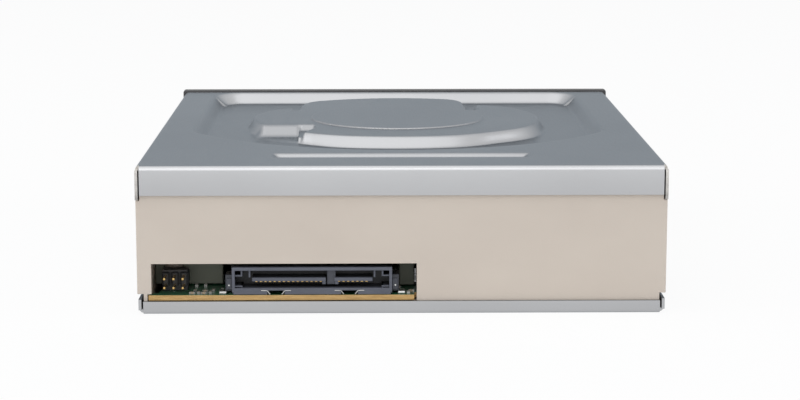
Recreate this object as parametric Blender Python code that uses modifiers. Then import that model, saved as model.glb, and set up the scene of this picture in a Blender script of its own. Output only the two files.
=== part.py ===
"""Internal half-height DVD writer.

Pressed steel covers over a moulded frame, a loading tray with its gear train, a lifting
traverse with spindle and pickup, a clamp over the disc, and a main board with the rear
SATA connector.

Units are metres.  +X is the left side seen from the rear, +Y points to the rear and +Z is
up.  The origin is the centre of the underside.
"""
import math

import bmesh
import bpy
from mathutils import Vector

# Overall sizes of a half-height drive
BODY_WIDTH = 0.1460
BODY_HEIGHT = 0.0413
COVER_LENGTH = 0.1650
BEZEL_DEPTH = 0.0050
SHEET = 0.0008
GAP = 0.0003
SOLDER_GAP = 0.0001
HOLE_SEGMENTS = 10
SMALL_SEGMENTS = 12
ROUND_SEGMENTS = 24
WELL_SEGMENTS = 48
PIVOT_DISPLAY_SIZE = 0.01
CORNER_POINTS = 6
SMALL_CORNER_POINTS = 5
SLOT_END_POINTS = 8
DIAL_SEGMENTS = 40
TOLERANCE = 0.000001
UNION_OVERLAP = 0.00025

# Lines that follow from them
FRONT = -(COVER_LENGTH + BEZEL_DEPTH) / 2
COVER_FRONT = FRONT + BEZEL_DEPTH
REAR = COVER_FRONT + COVER_LENGTH
SIDE = BODY_WIDTH / 2

# Disc and spindle
DISC_RADIUS = 0.0600
SPINDLE_Y = -0.0155

# Bent edges of the covers
BEND_RADIUS = 0.0012
BEND_STEPS = 3
RELIEF = 0.0010
REAR_FLAP_HEIGHT = 0.0081
FLAP_CHAMFER = 0.0008
SIDE_FLAP_BOTTOM = 0.0053
LOWER_LIP_HEIGHT = 0.0036
LOWER_FLANGE_HEIGHT = 0.0042
LOWER_WIDTH = 0.1452
LOWER_LIP_WIDTH = 0.1426

# Pressed pattern of the top cover
PAN_DEPTH = 0.0034
PAN_HALF_WIDTH = 0.0600
PAN_FRONT_MARGIN = 0.0030
PAN_CORNER = 0.0100
PAN_REAR_RADIUS = 0.0670
PAN_REAR_POINTS = 21
PLATEAU_POINTS = 19
DOME_POINTS = 12
SHOULDER_POINTS = 10
PRESS_SLOPE = 0.0042
PLATEAU_RADIUS = 0.0435
PLATEAU_DROP = 0.0002
DOME_RADIUS = 0.0450
DOME_LEFT = 0.0305
DOME_RIGHT = 0.0215
SHOULDER_FRONT = 0.0190
NOTCH_INNER = 0.0260
NOTCH_DEPTH_Y = 0.0165
DIAL_RADIUS = 0.0273
DIAL_RISE = 0.0004
DIAL_SLOPE = 0.0006
BEAD_HALF_LENGTH = 0.0370
BEAD_HALF_WIDTH = 0.0048
BEAD_END_RADIUS = 0.00432
BEAD_FROM_REAR = 0.0170
BEAD_DEPTH = 0.0007
BEAD_SLOPE = 0.0022

# Fixing holes of the standard bay
SIDE_HOLE_LOW = 0.0100
SIDE_HOLE_HIGH = 0.02184
HOLE_FROM_FRONT = 0.0523
HOLE_PITCH = 0.07925
BOTTOM_HOLE_SPACING = 0.1397
FIX_HOLE_RADIUS = 0.0013
COVER_HOLE_RADIUS = 0.0028

# Screws that hold the lower cover
SCREW_X = 0.0600
SCREW_FRONT_Y = -0.0705
SCREW_REAR_Y = 0.0600
SCREW_HEAD_RADIUS = 0.0029
SCREW_HEAD_HEIGHT = 0.0008
SCREW_FACE_RADIUS = 0.00232
SCREW_SHANK_RADIUS = 0.0013
SCREW_LENGTH = 0.0070
DIMPLE_RADIUS = 0.0056
DIMPLE_DEPTH = 0.0013
DIMPLE_SLOPE = 0.0015

# Panel recess pressed into the lower cover
RECESS_HALF_WIDTH = 0.0520
RECESS_FRONT_Y = -0.0560
RECESS_REAR_Y = 0.0480
RECESS_DEPTH = 0.0005
RECESS_CORNER = 0.0120

# Moulded main frame
FRAME_WALL = 0.0025
DECK_BOTTOM = 0.0120
DECK_THICKNESS = 0.0020
WELL_HALF_WIDTH = 0.0465
WELL_FRONT_Y = -0.0500
WELL_REAR_Y = 0.0665
LEDGE_INNER = 0.0605
LEDGE_THICKNESS = 0.0020
HOOK_LENGTH = 0.0120
HOOK_THICKNESS = 0.0020
HOOK_REACH = 0.0050
WINDOW_LEFT = 0.0691
WINDOW_RIGHT = -0.0041
WINDOW_TOP = 0.0140
LOWER_NOTCH_Z = 0.0056
LOWER_WALL_HALF = 0.0712
FRONT_WALL_TOP = 0.0170
BOSS_LENGTH = 0.0090
BOSS_REACH = 0.0062
BOTTOM_HOLE_DEPTH = 0.0072
LOWER_FRAME_HALF = 0.0715
SCREW_POST_RADIUS = 0.0032
REAR_BEAM = 0.0040
BRACKET_WIDTH = 0.0035
BRACKET_HALF = 0.0040
SLIDER_WEB_HALF = 0.0420
SLIDER_HOOKS = (-0.0220, 0.0090)
FRONT_HOLE_HALF = 0.0035
FRONT_POST_WIDTH = 0.0030
BOARD_POSTS = ((-0.0340, 0.0720), (0.0640, 0.0690))
BOARD_POST_RADIUS = 0.0024

# Main board and what is soldered on it
BOARD_BOTTOM = 0.0037
BOARD_THICKNESS = 0.0015
BOARD_LEFT = 0.0699
BOARD_RIGHT = -0.0034
BOARD_INNER_RIGHT = -0.0400
BOARD_FRONT_Y = 0.0520
BOARD_TOP = BOARD_BOTTOM + BOARD_THICKNESS
BOARD_INNER_LEFT = 0.0645
BOARD_CHIPS = (
    ("main_chip", (0.0260, 0.0660), (0.0160, 0.0160, 0.0014)),
    ("motor_driver_chip", (-0.0200, 0.0660), (0.0150, 0.0075, 0.0018)),
    ("memory_chip", (0.0460, 0.0680), (0.0080, 0.0050, 0.0015)),
    ("cable_socket", (0.0060, 0.0560), (0.0240, 0.0040, 0.0020)),
)
CHIP_BEVEL = 0.0003
CAPACITOR_PLACES = ((0.0480, 0.0560), (-0.0040, 0.0680))
CAPACITOR_RADIUS = 0.0025
CAPACITOR_HEIGHT = 0.0048
CAPACITOR_BASE = 0.00072
CAPACITOR_ROUND_HEIGHT = 0.00024
CAPACITOR_ROUND = 0.00025

# Rear connector for data and power
SHROUD_LEFT = 0.0469
SHROUD_RIGHT = 0.0027
SHROUD_TOP = 0.0129
SHROUD_DEPTH = 0.0080
SHROUD_ROOF = 0.0011
SHROUD_FLOOR = 0.0017
SHROUD_SIDE = 0.0008
CAVITY_DEPTH = 0.0062
EAR_LEFT = 0.0488
EAR_RIGHT = 0.0008
EAR_TOP = 0.0107
EAR_DEPTH = 0.0060
POWER_TONGUE = (0.0414, 0.0210)
SIGNAL_TONGUE = (0.0187, 0.0081)
TONGUE_LOW = 0.0085
TONGUE_THICKNESS = 0.0014
TONGUE_FRONT_GAP = 0.0008
LEG_WIDTH = 0.0012
LEG_DROP = 0.0008
KEY_BLOCK = (0.0207, 0.0183)
FOOT_CUTS = ((0.0404, 0.0330), (0.0203, 0.0131))
FOOT_CUT_HEIGHT = 0.0012

# Small board behind the bezel
FRONT_BOARD_X = (0.0360, 0.0565)
FRONT_BOARD_Y = (-0.0765, -0.0660)
FRONT_BOARD_TOP = 0.0074
FRONT_BOARD_THICKNESS = 0.0012
SWITCH_SIZE = 0.0060
SWITCH_DEPTH = 0.0035
SWITCH_PLUNGER = 0.0012
SWITCH_PLUNGER_RADIUS = 0.0010
SWITCH_HEIGHT = 0.0040

# Jumper header
PIN_PITCH = 0.00254
PIN_SIZE = 0.00064
HEADER_LEFT_X = 0.0656
HEADER_PIN_LOW = 0.0070
HEADER_BODY_HEIGHT = 0.0062
HEADER_BODY_DEPTH = 0.0050
PIN_LENGTH = 0.0058

# Front bezel, door and button
BEZEL_HALF_WIDTH = 0.0738
BEZEL_BOTTOM = 0.0002
BEZEL_TOP = 0.0418
BEZEL_WALL = 0.0022
BEZEL_RIM = 0.0014
BEZEL_EDGE = 0.0006
DOOR_HALF_WIDTH = 0.0665
DOOR_BOTTOM = 0.0185
DOOR_TOP = 0.0330
DOOR_THICKNESS = 0.0024
DOOR_GAP = 0.0004
BUTTON_X = 0.0520
BUTTON_Z = 0.0105
BUTTON_HALF_WIDTH = 0.0065
BUTTON_HALF_HEIGHT = 0.0022
BUTTON_TRAVEL = 0.0006
LIGHT_X = 0.0385
LIGHT_HALF_WIDTH = 0.0016
LIGHT_HALF_HEIGHT = 0.0008
PINHOLE_X = 0.0200
PINHOLE_RADIUS = 0.0008

# Tray
TRAY_HALF_WIDTH = 0.0660
TRAY_BOTTOM = 0.0190
TRAY_TOP = 0.0256
TRAY_REAR_Y = 0.0760
TRAY_FLOOR_BOTTOM = 0.0216
TRAY_FLOOR_TOP = 0.0232
TRAY_RAIL_WIDTH = 0.0040
DISC_WELL_CLEARANCE = 0.0008
SMALL_DISC_RADIUS = 0.0405
SMALL_WELL_DEPTH = 0.0006
SLOT_HALF_WIDTH = 0.0185
NOTCH_X = 0.0330
NOTCH_Y = -0.0690
NOTCH_RADIUS = 0.0085
REAR_NOTCH_HALF = 0.0420

# Loading gears: module, teeth and places
MODULE = 0.0012
PRESSURE_ANGLE = 20.0
ADDENDUM = 0.80
DEDENDUM = 1.05
RACK_LEAD = 0.0080
RACK_GEAR_TEETH = 20
WHEEL_TEETH = 22
PINION_TEETH = 12
BACKLASH = 0.00022
GEAR_X = 0.0460
GEAR_Y = -0.0635
RACK_GEAR_BOTTOM = 0.0196
RACK_GEAR_TOP = 0.0213
WHEEL_BOTTOM = 0.0174
WHEEL_TOP = 0.0192
PULLEY_RADIUS = 0.0120
PULLEY_BOTTOM = 0.0146
PULLEY_TOP = 0.0170
GROOVE_DEPTH = 0.0010
GROOVE_WIDTH = 0.0018
MOTOR_PULLEY_RADIUS = 0.0030
MOTOR_X = -0.0050
MOTOR_Y = -0.0645
MOTOR_RADIUS = 0.0105
MOTOR_BOTTOM = 0.0017
MOTOR_SHAFT_RADIUS = 0.0010
MOTOR_BOSS_RADIUS = 0.0026
BELT_WIDTH = 0.0012
BELT_THICKNESS = 0.0009
POST_RADIUS = 0.0018

# Lifting traverse and its cam slider
PIVOT_Y = 0.0620
PIVOT_Z = 0.0145
PIVOT_RADIUS = 0.0020
TRAVERSE_HALF_WIDTH = 0.0455
TRAVERSE_FRONT_Y = -0.0460
TRAVERSE_BOTTOM = 0.0105
TRAVERSE_TOP = 0.0165
TRAVERSE_RIM = 0.0030
TRAVERSE_DROP_DEG = 4.1
SLIDER_Y = -0.0485
SLIDER_THICKNESS = 0.0018
SLIDER_BOTTOM = 0.0024
SLIDER_TOP = 0.0155
SLIDER_LEFT = 0.0220
SLIDER_RIGHT = -0.0240
SLIDER_TRAVEL = 0.0160
CAM_PIN_X = 0.0080
CAM_PIN_Z = 0.0129
CAM_PIN_RADIUS = 0.0013
CAM_CLEARANCE = 0.0004

# Mechanism plate, rods, spindle and pickup
PLATE_HALF_WIDTH = 0.0405
PLATE_FRONT_Y = -0.0400
PLATE_REAR_Y = 0.0585
PLATE_BOTTOM = 0.0138
PLATE_THICKNESS = 0.0010
OPENING_LEFT = 0.0285
OPENING_FRONT_Y = -0.0010
OPENING_REAR_Y = 0.0542
SADDLE_HALF = 0.0026
SADDLE_LENGTH = 0.0030
SADDLE_OVERLAP = 0.0008
DAMPER_RADIUS = 0.0030
DAMPER_NECK = 0.0022
DAMPER_PIN_RADIUS = 0.0012
DAMPER_FLANGE = 0.0009
DAMPER_X = 0.0370
DAMPER_FRONT_Y = -0.0355
DAMPER_REAR_Y = 0.0515
ROD_RADIUS = 0.0015
ROD_X = 0.0235
ROD_Z = 0.0172
ROD_FRONT_Y = -0.0040
ROD_REAR_Y = 0.0575
TURNTABLE_RADIUS = 0.0150
TURNTABLE_BOTTOM = 0.0236
TURNTABLE_TOP = 0.0253
HUB_RADIUS = 0.0073
HUB_TOP = 0.0268
ROTOR_RADIUS = 0.0128
ROTOR_BOTTOM = 0.0178
SPINDLE_BOSS_RADIUS = 0.0045
PICKUP_FRONT_Y = 0.0010
PICKUP_LENGTH = 0.0175
PICKUP_BOTTOM = 0.0105
PICKUP_TOP = 0.0206
LENS_Y = 0.0085
LENS_RADIUS = 0.0022
LENS_EDGE_RADIUS = 0.00187
HOLDER_HALF = 0.0085
HOLDER_DEPTH_HALF = 0.0051
LENS_TOP = 0.0236
LEAD_SCREW_X = -0.0316
LEAD_SCREW_Z = 0.0156
LEAD_SCREW_RADIUS = 0.0013
LEAD_SCREW_END_Y = 0.0570
FOLLOWER_HALF = 0.0025
FEED_MOTOR_LENGTH = 0.0090
FEED_MOTOR_RADIUS = 0.0052

# Clamp above the disc
BRIDGE_FRONT_Y = -0.0400
BRIDGE_REAR_Y = 0.0090
BRIDGE_BOTTOM = 0.0312
BRIDGE_THICKNESS = 0.0020
BRIDGE_HOLE_RADIUS = 0.0130
BRIDGE_WINDOW = (0.0290, 0.0560)
BRIDGE_MARGIN = 0.0100
CLAMPER_RADIUS = 0.0155
CLAMPER_BOTTOM = 0.0261
CLAMPER_NECK_RADIUS = 0.0120
CLAMPER_FLANGE_RADIUS = 0.0148


def clear_scene():
    """Removes whatever objects the scene holds."""
    for old in list(bpy.data.objects):
        bpy.data.objects.remove(old, do_unlink=True)


def add_collection(name):
    """A new collection in the scene."""
    collection = bpy.data.collections.new(name)
    bpy.context.scene.collection.children.link(collection)
    return collection


clear_scene()
PARTS = add_collection("dvd_writer")
CUTTERS = add_collection("dvd_writer_cutters")


def finish(name, colour, roughness, metallic=0.0):
    """A plain surface finish."""
    surface = bpy.data.materials.new(name)
    surface.use_nodes = True
    shader = surface.node_tree.nodes["Principled BSDF"]
    shader.inputs["Base Color"].default_value = (*colour, 1.0)
    shader.inputs["Roughness"].default_value = roughness
    shader.inputs["Metallic"].default_value = metallic
    return surface


ZINC_STEEL = finish("zinc_steel", (0.60, 0.61, 0.64), 0.42, 1.0)
BRIGHT_STEEL = finish("bright_steel", (0.72, 0.72, 0.73), 0.20, 1.0)
DARK_STEEL = finish("dark_steel", (0.20, 0.21, 0.22), 0.35, 1.0)
BEIGE_PLASTIC = finish("beige_plastic", (0.60, 0.53, 0.46), 0.55)
BLACK_PLASTIC = finish("black_plastic", (0.020, 0.020, 0.022), 0.50)
GREY_PLASTIC = finish("grey_plastic", (0.10, 0.10, 0.11), 0.50)
WHITE_PLASTIC = finish("white_plastic", (0.80, 0.80, 0.76), 0.45)
CONNECTOR_PLASTIC = finish("connector_plastic", (0.060, 0.066, 0.085), 0.45)
BOARD_GREEN = finish("board_green", (0.03, 0.14, 0.07), 0.40)
CHIP_BLACK = finish("chip_black", (0.015, 0.015, 0.016), 0.55)
RUBBER = finish("rubber", (0.020, 0.020, 0.020), 0.80)
LENS_GLASS = finish("lens_glass", (0.45, 0.55, 0.70), 0.05)
AMBER_LIGHT = finish("amber_light", (0.55, 0.75, 0.30), 0.25)


def mesh_object(name, bm, location=(0.0, 0.0, 0.0)):
    """Turns a bmesh into an object that isn't in any collection yet."""
    mesh = bpy.data.meshes.new(name)
    bm.to_mesh(mesh)
    bm.free()
    made = bpy.data.objects.new(name, mesh)
    made.location = location
    return made


def block(low, high, name="block"):
    """A box between two corners."""
    low, high = Vector(low), Vector(high)
    bm = bmesh.new()
    bmesh.ops.create_cube(bm, size=1.0)
    bmesh.ops.scale(bm, vec=high - low, verts=bm.verts)
    return mesh_object(name, bm, (low + high) / 2)


def both_sides(low, high):
    """A box and its twin on the other side of the centre plane."""
    other_low = (-high[0], low[1], low[2])
    other_high = (-low[0], high[1], high[2])
    return [block(low, high), block(other_low, other_high)]


def rod(start, end, radius, segments=SMALL_SEGMENTS, name="rod"):
    """A round bar from one point to another."""
    start, end = Vector(start), Vector(end)
    bm = bmesh.new()
    bmesh.ops.create_cone(bm, cap_ends=True, segments=segments, radius1=radius, radius2=radius,
                          depth=(end - start).length)
    made = mesh_object(name, bm, (start + end) / 2)
    made.rotation_mode = 'QUATERNION'
    made.rotation_quaternion = (end - start).to_track_quat('Z', 'Y')
    return made


def arc(centre, radius, start, end, count):
    """Points along an arc, both ends included, with its angles in degrees."""
    points = []
    for step in range(count):
        angle = math.radians(start + (end - start) * step / (count - 1))
        points.append((centre[0] + radius * math.cos(angle), centre[1] + radius * math.sin(angle)))
    return points


def circle(centre, radius, count):
    """A closed ring of points."""
    return arc(centre, radius, 0.0, 360.0 * (count - 1) / count, count)


def round_rectangle(low, high, corner, steps=4):
    """A rectangle's outline with round corners."""
    points = arc((high[0] - corner, high[1] - corner), corner, 0, 90, steps)
    points += arc((low[0] + corner, high[1] - corner), corner, 90, 180, steps)
    points += arc((low[0] + corner, low[1] + corner), corner, 180, 270, steps)
    points += arc((high[0] - corner, low[1] + corner), corner, 270, 360, steps)
    return points


def offset_outline(points, distance):
    """The same outline moved outward all round, for points that run counter-clockwise."""
    moved = []
    for index, point in enumerate(points):
        before = Vector(points[index - 1])
        here = Vector(point)
        after = Vector(points[(index + 1) % len(points)])
        first = (here - before).normalized()
        second = (after - here).normalized()
        normal = Vector((first.y + second.y, -first.x - second.x)).normalized()
        stretch = 1.0 / max(normal.dot(Vector((second.y, -second.x))), 0.5)
        moved.append(tuple(here + normal * distance * stretch))
    return moved


def plate(outlines, low, high, name="plate", upright=False):
    """Flat stock cut to an outline, with its holes; upright stock faces the front."""
    curve = bpy.data.curves.new(name, 'CURVE')
    curve.dimensions = '2D'
    curve.fill_mode = 'BOTH'
    curve.extrude = (high - low) / 2
    for outline in outlines:
        spline = curve.splines.new('POLY')
        spline.points.add(len(outline) - 1)
        spline.use_cyclic_u = True
        for point, place in zip(spline.points, outline):
            point.co = (place[0], place[1], 0.0, 1.0)
    drawn = bpy.data.objects.new(name, curve)
    CUTTERS.objects.link(drawn)
    graph = bpy.context.evaluated_depsgraph_get()
    mesh = bpy.data.meshes.new_from_object(drawn.evaluated_get(graph))
    bpy.data.objects.remove(drawn)
    bm = bmesh.new()
    bm.from_mesh(mesh)
    bmesh.ops.remove_doubles(bm, verts=bm.verts, dist=TOLERANCE)
    made = mesh_object(name, bm, (0.0, 0.0, (low + high) / 2))
    if upright:
        made.location = (0.0, (low + high) / 2, 0.0)
        made.rotation_euler = (math.radians(90), 0.0, 0.0)
    return made


def turned(name, profile, segments, location=(0.0, 0.0, 0.0)):
    """A turned piece: a profile on the +X side, from the axis at the top to the axis below."""
    bm = bmesh.new()
    closed = profile[0] == profile[-1]
    drawn = profile[:-1] if closed else profile
    verts = [bm.verts.new((radius, 0.0, height)) for radius, height in drawn]
    for first, second in zip(verts, verts[1:]):
        bm.edges.new((first, second))
    if closed:
        bm.edges.new((verts[-1], verts[0]))
    made = mesh_object(name, bm, location)
    screw = made.modifiers.new("Turn", 'SCREW')
    screw.steps = segments
    screw.render_steps = segments
    screw.use_merge_vertices = True
    screw.merge_threshold = TOLERANCE
    return made


def add_part(made, name, surface, parent=None):
    """Puts a finished piece in the parts collection under its own name."""
    made.name = name
    made.data.name = name
    made.data.materials.clear()
    made.data.materials.append(surface)
    PARTS.objects.link(made)
    if parent is not None:
        bpy.context.view_layer.update()
        made.parent = parent
        made.matrix_parent_inverse = parent.matrix_world.inverted()
    return made


def pivot(name, location):
    """An empty on a joint's axis, for the pieces that move about it."""
    empty = bpy.data.objects.new(name, None)
    empty.empty_display_size = PIVOT_DISPLAY_SIZE
    empty.location = location
    PARTS.objects.link(empty)
    return empty


def combine(part, operation, shapes):
    """Joins shapes to a part, or cuts them out of it."""
    group = bpy.data.collections.new(part.name + "_" + operation.lower())
    CUTTERS.children.link(group)
    for shape in shapes:
        shape.display_type = 'WIRE'
        shape.hide_render = True
        group.objects.link(shape)
    modifier = part.modifiers.new(operation.title(), 'BOOLEAN')
    modifier.operation = operation
    modifier.solver = 'EXACT'
    modifier.operand_type = 'COLLECTION'
    modifier.collection = group


def join(part, shapes):
    """Makes the shapes one solid with the part."""
    combine(part, 'UNION', shapes)


def cut(part, shapes):
    """Takes the shapes out of the part."""
    combine(part, 'DIFFERENCE', shapes)


def draw_loop(bm, points, height):
    """A closed line of edges at one height."""
    verts = [bm.verts.new((x, y, height)) for x, y in points]
    return [bm.edges.new((verts[index - 1], verts[index])) for index in range(len(verts))]


def press(bm, outline, slope, start_height, end_height, steps=3):
    """An eased slope that runs inward from an outline; gives back its outer and inner lines."""
    loops = []
    for step in range(steps + 1):
        share = step / steps
        ease = (1.0 - math.cos(math.pi * share)) / 2
        height = start_height + (end_height - start_height) * ease
        loops.append(draw_loop(bm, offset_outline(outline, -slope * share), height))
    for outer, inner in zip(loops, loops[1:]):
        bmesh.ops.bridge_loops(bm, edges=outer + inner)
    return loops[0], loops[-1]


def fill_flat(bm, loops):
    """Closes the flat area inside the first line and outside the others."""
    edges = [edge for loop in loops for edge in loop]
    bmesh.ops.triangle_fill(bm, use_beauty=True, use_dissolve=False, edges=edges)


def edges_on(bm, axis, value):
    """Open edges that lie on one plane across an axis."""
    return [edge for edge in bm.edges
            if edge.is_boundary and all(abs(vert.co[axis] - value) < TOLERANCE for vert in edge.verts)]


def bend(bm, edges, centre, axis, angle):
    """Rolls a row of edges over a quarter bend and gives back its last edges."""
    verts = list({vert for edge in edges for vert in edge.verts})
    rolled = bmesh.ops.spin(bm, geom=verts + edges, cent=centre, axis=axis,
                            angle=math.radians(angle), steps=BEND_STEPS)
    return [item for item in rolled["geom_last"] if isinstance(item, bmesh.types.BMEdge)]


def draw_out(bm, edges, move):
    """Draws a row of edges out by a straight move and gives back its last edges."""
    grown = bmesh.ops.extrude_edge_only(bm, edges=edges)["geom"]
    verts = [item for item in grown if isinstance(item, bmesh.types.BMVert)]
    bmesh.ops.translate(bm, verts=verts, vec=move)
    return [item for item in grown if isinstance(item, bmesh.types.BMEdge)
            and all(vert in verts for vert in item.verts)]


def narrow_ends(edges, amount):
    """Pulls the two end corners of a flap's edge in, as its chamfers."""
    verts = {vert for edge in edges for vert in edge.verts}
    for vert in verts:
        vert.co.x -= math.copysign(amount, vert.co.x)


def sheet_metal(name, bm, outer_is_up):
    """Gives an open surface the sheet's thickness, inward from its outer face."""
    bmesh.ops.recalc_face_normals(bm, faces=bm.faces)
    bm.normal_update()
    panel = max(bm.faces, key=lambda face: face.calc_area() * abs(face.normal.z))
    if (panel.normal.z > 0) != outer_is_up:
        bmesh.ops.reverse_faces(bm, faces=bm.faces)
    made = mesh_object(name, bm)
    wall = made.modifiers.new("Sheet", 'SOLIDIFY')
    wall.thickness = SHEET
    wall.offset = -1.0
    wall.use_even_offset = True
    return made


def pan_outline():
    """Sunk pan of the top cover: straight sides, round front corners, round rear end."""
    front = COVER_FRONT + PAN_FRONT_MARGIN
    side_angle = math.degrees(math.acos(PAN_HALF_WIDTH / PAN_REAR_RADIUS))
    points = arc((0.0, SPINDLE_Y), PAN_REAR_RADIUS, side_angle, 180 - side_angle, PAN_REAR_POINTS)
    points += arc((-PAN_HALF_WIDTH + PAN_CORNER, front + PAN_CORNER), PAN_CORNER, 180, 270, CORNER_POINTS)
    points += arc((PAN_HALF_WIDTH - PAN_CORNER, front + PAN_CORNER), PAN_CORNER, 270, 360, CORNER_POINTS)
    return points


def plateau_outline():
    """Raised plateau about the spindle, with a narrower dome in front and a notch at its rear left."""
    centre = (0.0, SPINDLE_Y)
    notch_y = SPINDLE_Y + NOTCH_DEPTH_Y
    notch_start = math.degrees(math.acos(NOTCH_INNER / PLATEAU_RADIUS))
    notch_end = math.degrees(math.asin(NOTCH_DEPTH_Y / PLATEAU_RADIUS))
    shoulder = math.degrees(math.asin(SHOULDER_FRONT / PLATEAU_RADIUS))
    dome_start = math.degrees(math.acos(DOME_RIGHT / DOME_RADIUS))
    dome_end = math.degrees(math.acos(DOME_LEFT / DOME_RADIUS))
    front = SPINDLE_Y - SHOULDER_FRONT
    points = arc(centre, PLATEAU_RADIUS, notch_start, 180 + shoulder, PLATEAU_POINTS)
    points += [(-DOME_RIGHT, front)]
    points += arc(centre, DOME_RADIUS, 180 + dome_start, 360 - dome_end, DOME_POINTS)
    points += [(DOME_LEFT, front)]
    points += arc(centre, PLATEAU_RADIUS, 360 - shoulder, 360 + notch_end, SHOULDER_POINTS)
    points += [(NOTCH_INNER, notch_y)]
    return points


def bead_outline():
    """Long stiffening bead near the rear edge."""
    y = REAR - BEAD_FROM_REAR
    low = (-BEAD_HALF_LENGTH, y - BEAD_HALF_WIDTH)
    high = (BEAD_HALF_LENGTH, y + BEAD_HALF_WIDTH)
    return round_rectangle(low, high, BEAD_END_RADIUS, SMALL_CORNER_POINTS)


def fixing_rows():
    """The two places along the drive that carry its fixing holes."""
    first = FRONT + HOLE_FROM_FRONT
    return (first, first + HOLE_PITCH)


def side_hole_tools(radius, depth):
    """Round cutters for the fixing holes in both sides."""
    tools = []
    for y in fixing_rows():
        for z in (SIDE_HOLE_LOW, SIDE_HOLE_HIGH):
            for side in (-1, 1):
                outer = side * (SIDE + SHEET)
                inner = side * (SIDE - depth)
                tools.append(rod((outer, y, z), (inner, y, z), radius, HOLE_SEGMENTS))
    return tools


def build_top_cover():
    """Pressed lid with rear flap and two side flaps."""
    bm = bmesh.new()
    top = BODY_HEIGHT
    floor = top - PAN_DEPTH
    plateau = top - PLATEAU_DROP
    bend_x = SIDE - BEND_RADIUS
    bend_y = REAR - BEND_RADIUS
    relief_y = bend_y - RELIEF
    flap_half = SIDE - SHEET - GAP
    front = COVER_FRONT + GAP
    edge = [(bend_x, front), (bend_x, relief_y), (flap_half, bend_y),
            (-flap_half, bend_y), (-bend_x, relief_y), (-bend_x, front)]
    rim = draw_loop(bm, edge, top)
    pan_top, pan_foot = press(bm, pan_outline(), PRESS_SLOPE, top, floor)
    plateau_base = offset_outline(plateau_outline(), PRESS_SLOPE)
    plateau_foot, plateau_top = press(bm, plateau_base, PRESS_SLOPE, floor, plateau)
    dial_base = circle((0.0, SPINDLE_Y), DIAL_RADIUS + DIAL_SLOPE, DIAL_SEGMENTS)
    dial_foot, dial_top = press(bm, dial_base, DIAL_SLOPE, plateau, plateau + DIAL_RISE, 1)
    bead_top, bead_foot = press(bm, bead_outline(), BEAD_SLOPE, top, top - BEAD_DEPTH, 1)
    fill_flat(bm, [rim, pan_top, bead_top])
    fill_flat(bm, [pan_foot, plateau_foot])
    fill_flat(bm, [plateau_top, dial_foot])
    fill_flat(bm, [dial_top])
    fill_flat(bm, [bead_foot])
    centre_z = top - BEND_RADIUS
    rear = bend(bm, edges_on(bm, 1, bend_y), (0.0, bend_y, centre_z), (1, 0, 0), -90)
    straight = REAR_FLAP_HEIGHT - BEND_RADIUS - FLAP_CHAMFER
    rear = draw_out(bm, rear, (0.0, 0.0, -straight))
    rear = draw_out(bm, rear, (0.0, 0.0, -FLAP_CHAMFER))
    narrow_ends(rear, FLAP_CHAMFER)
    for side in (-1, 1):
        line = edges_on(bm, 0, side * bend_x)
        flap = bend(bm, line, (side * bend_x, 0.0, centre_z), (0, 1, 0), side * 90)
        drop = centre_z - SIDE_FLAP_BOTTOM
        draw_out(bm, flap, (0.0, 0.0, -drop))
        end = [e for e in edges_on(bm, 1, relief_y)
               if all(abs(abs(vert.co.x) - SIDE) < TOLERANCE for vert in e.verts)
               and e.verts[0].co.x * side > 0]
        draw_out(bm, end, (0.0, REAR - relief_y, 0.0))
    cover = sheet_metal("top_cover", bm, True)
    cut(cover, side_hole_tools(COVER_HOLE_RADIUS, 2 * SHEET))
    return add_part(cover, "top_cover", ZINC_STEEL)


def screw_places():
    """Places of the four screws that hold the lower cover."""
    return [(x, y) for y in (SCREW_FRONT_Y, SCREW_REAR_Y) for x in (-SCREW_X, SCREW_X)]


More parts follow.
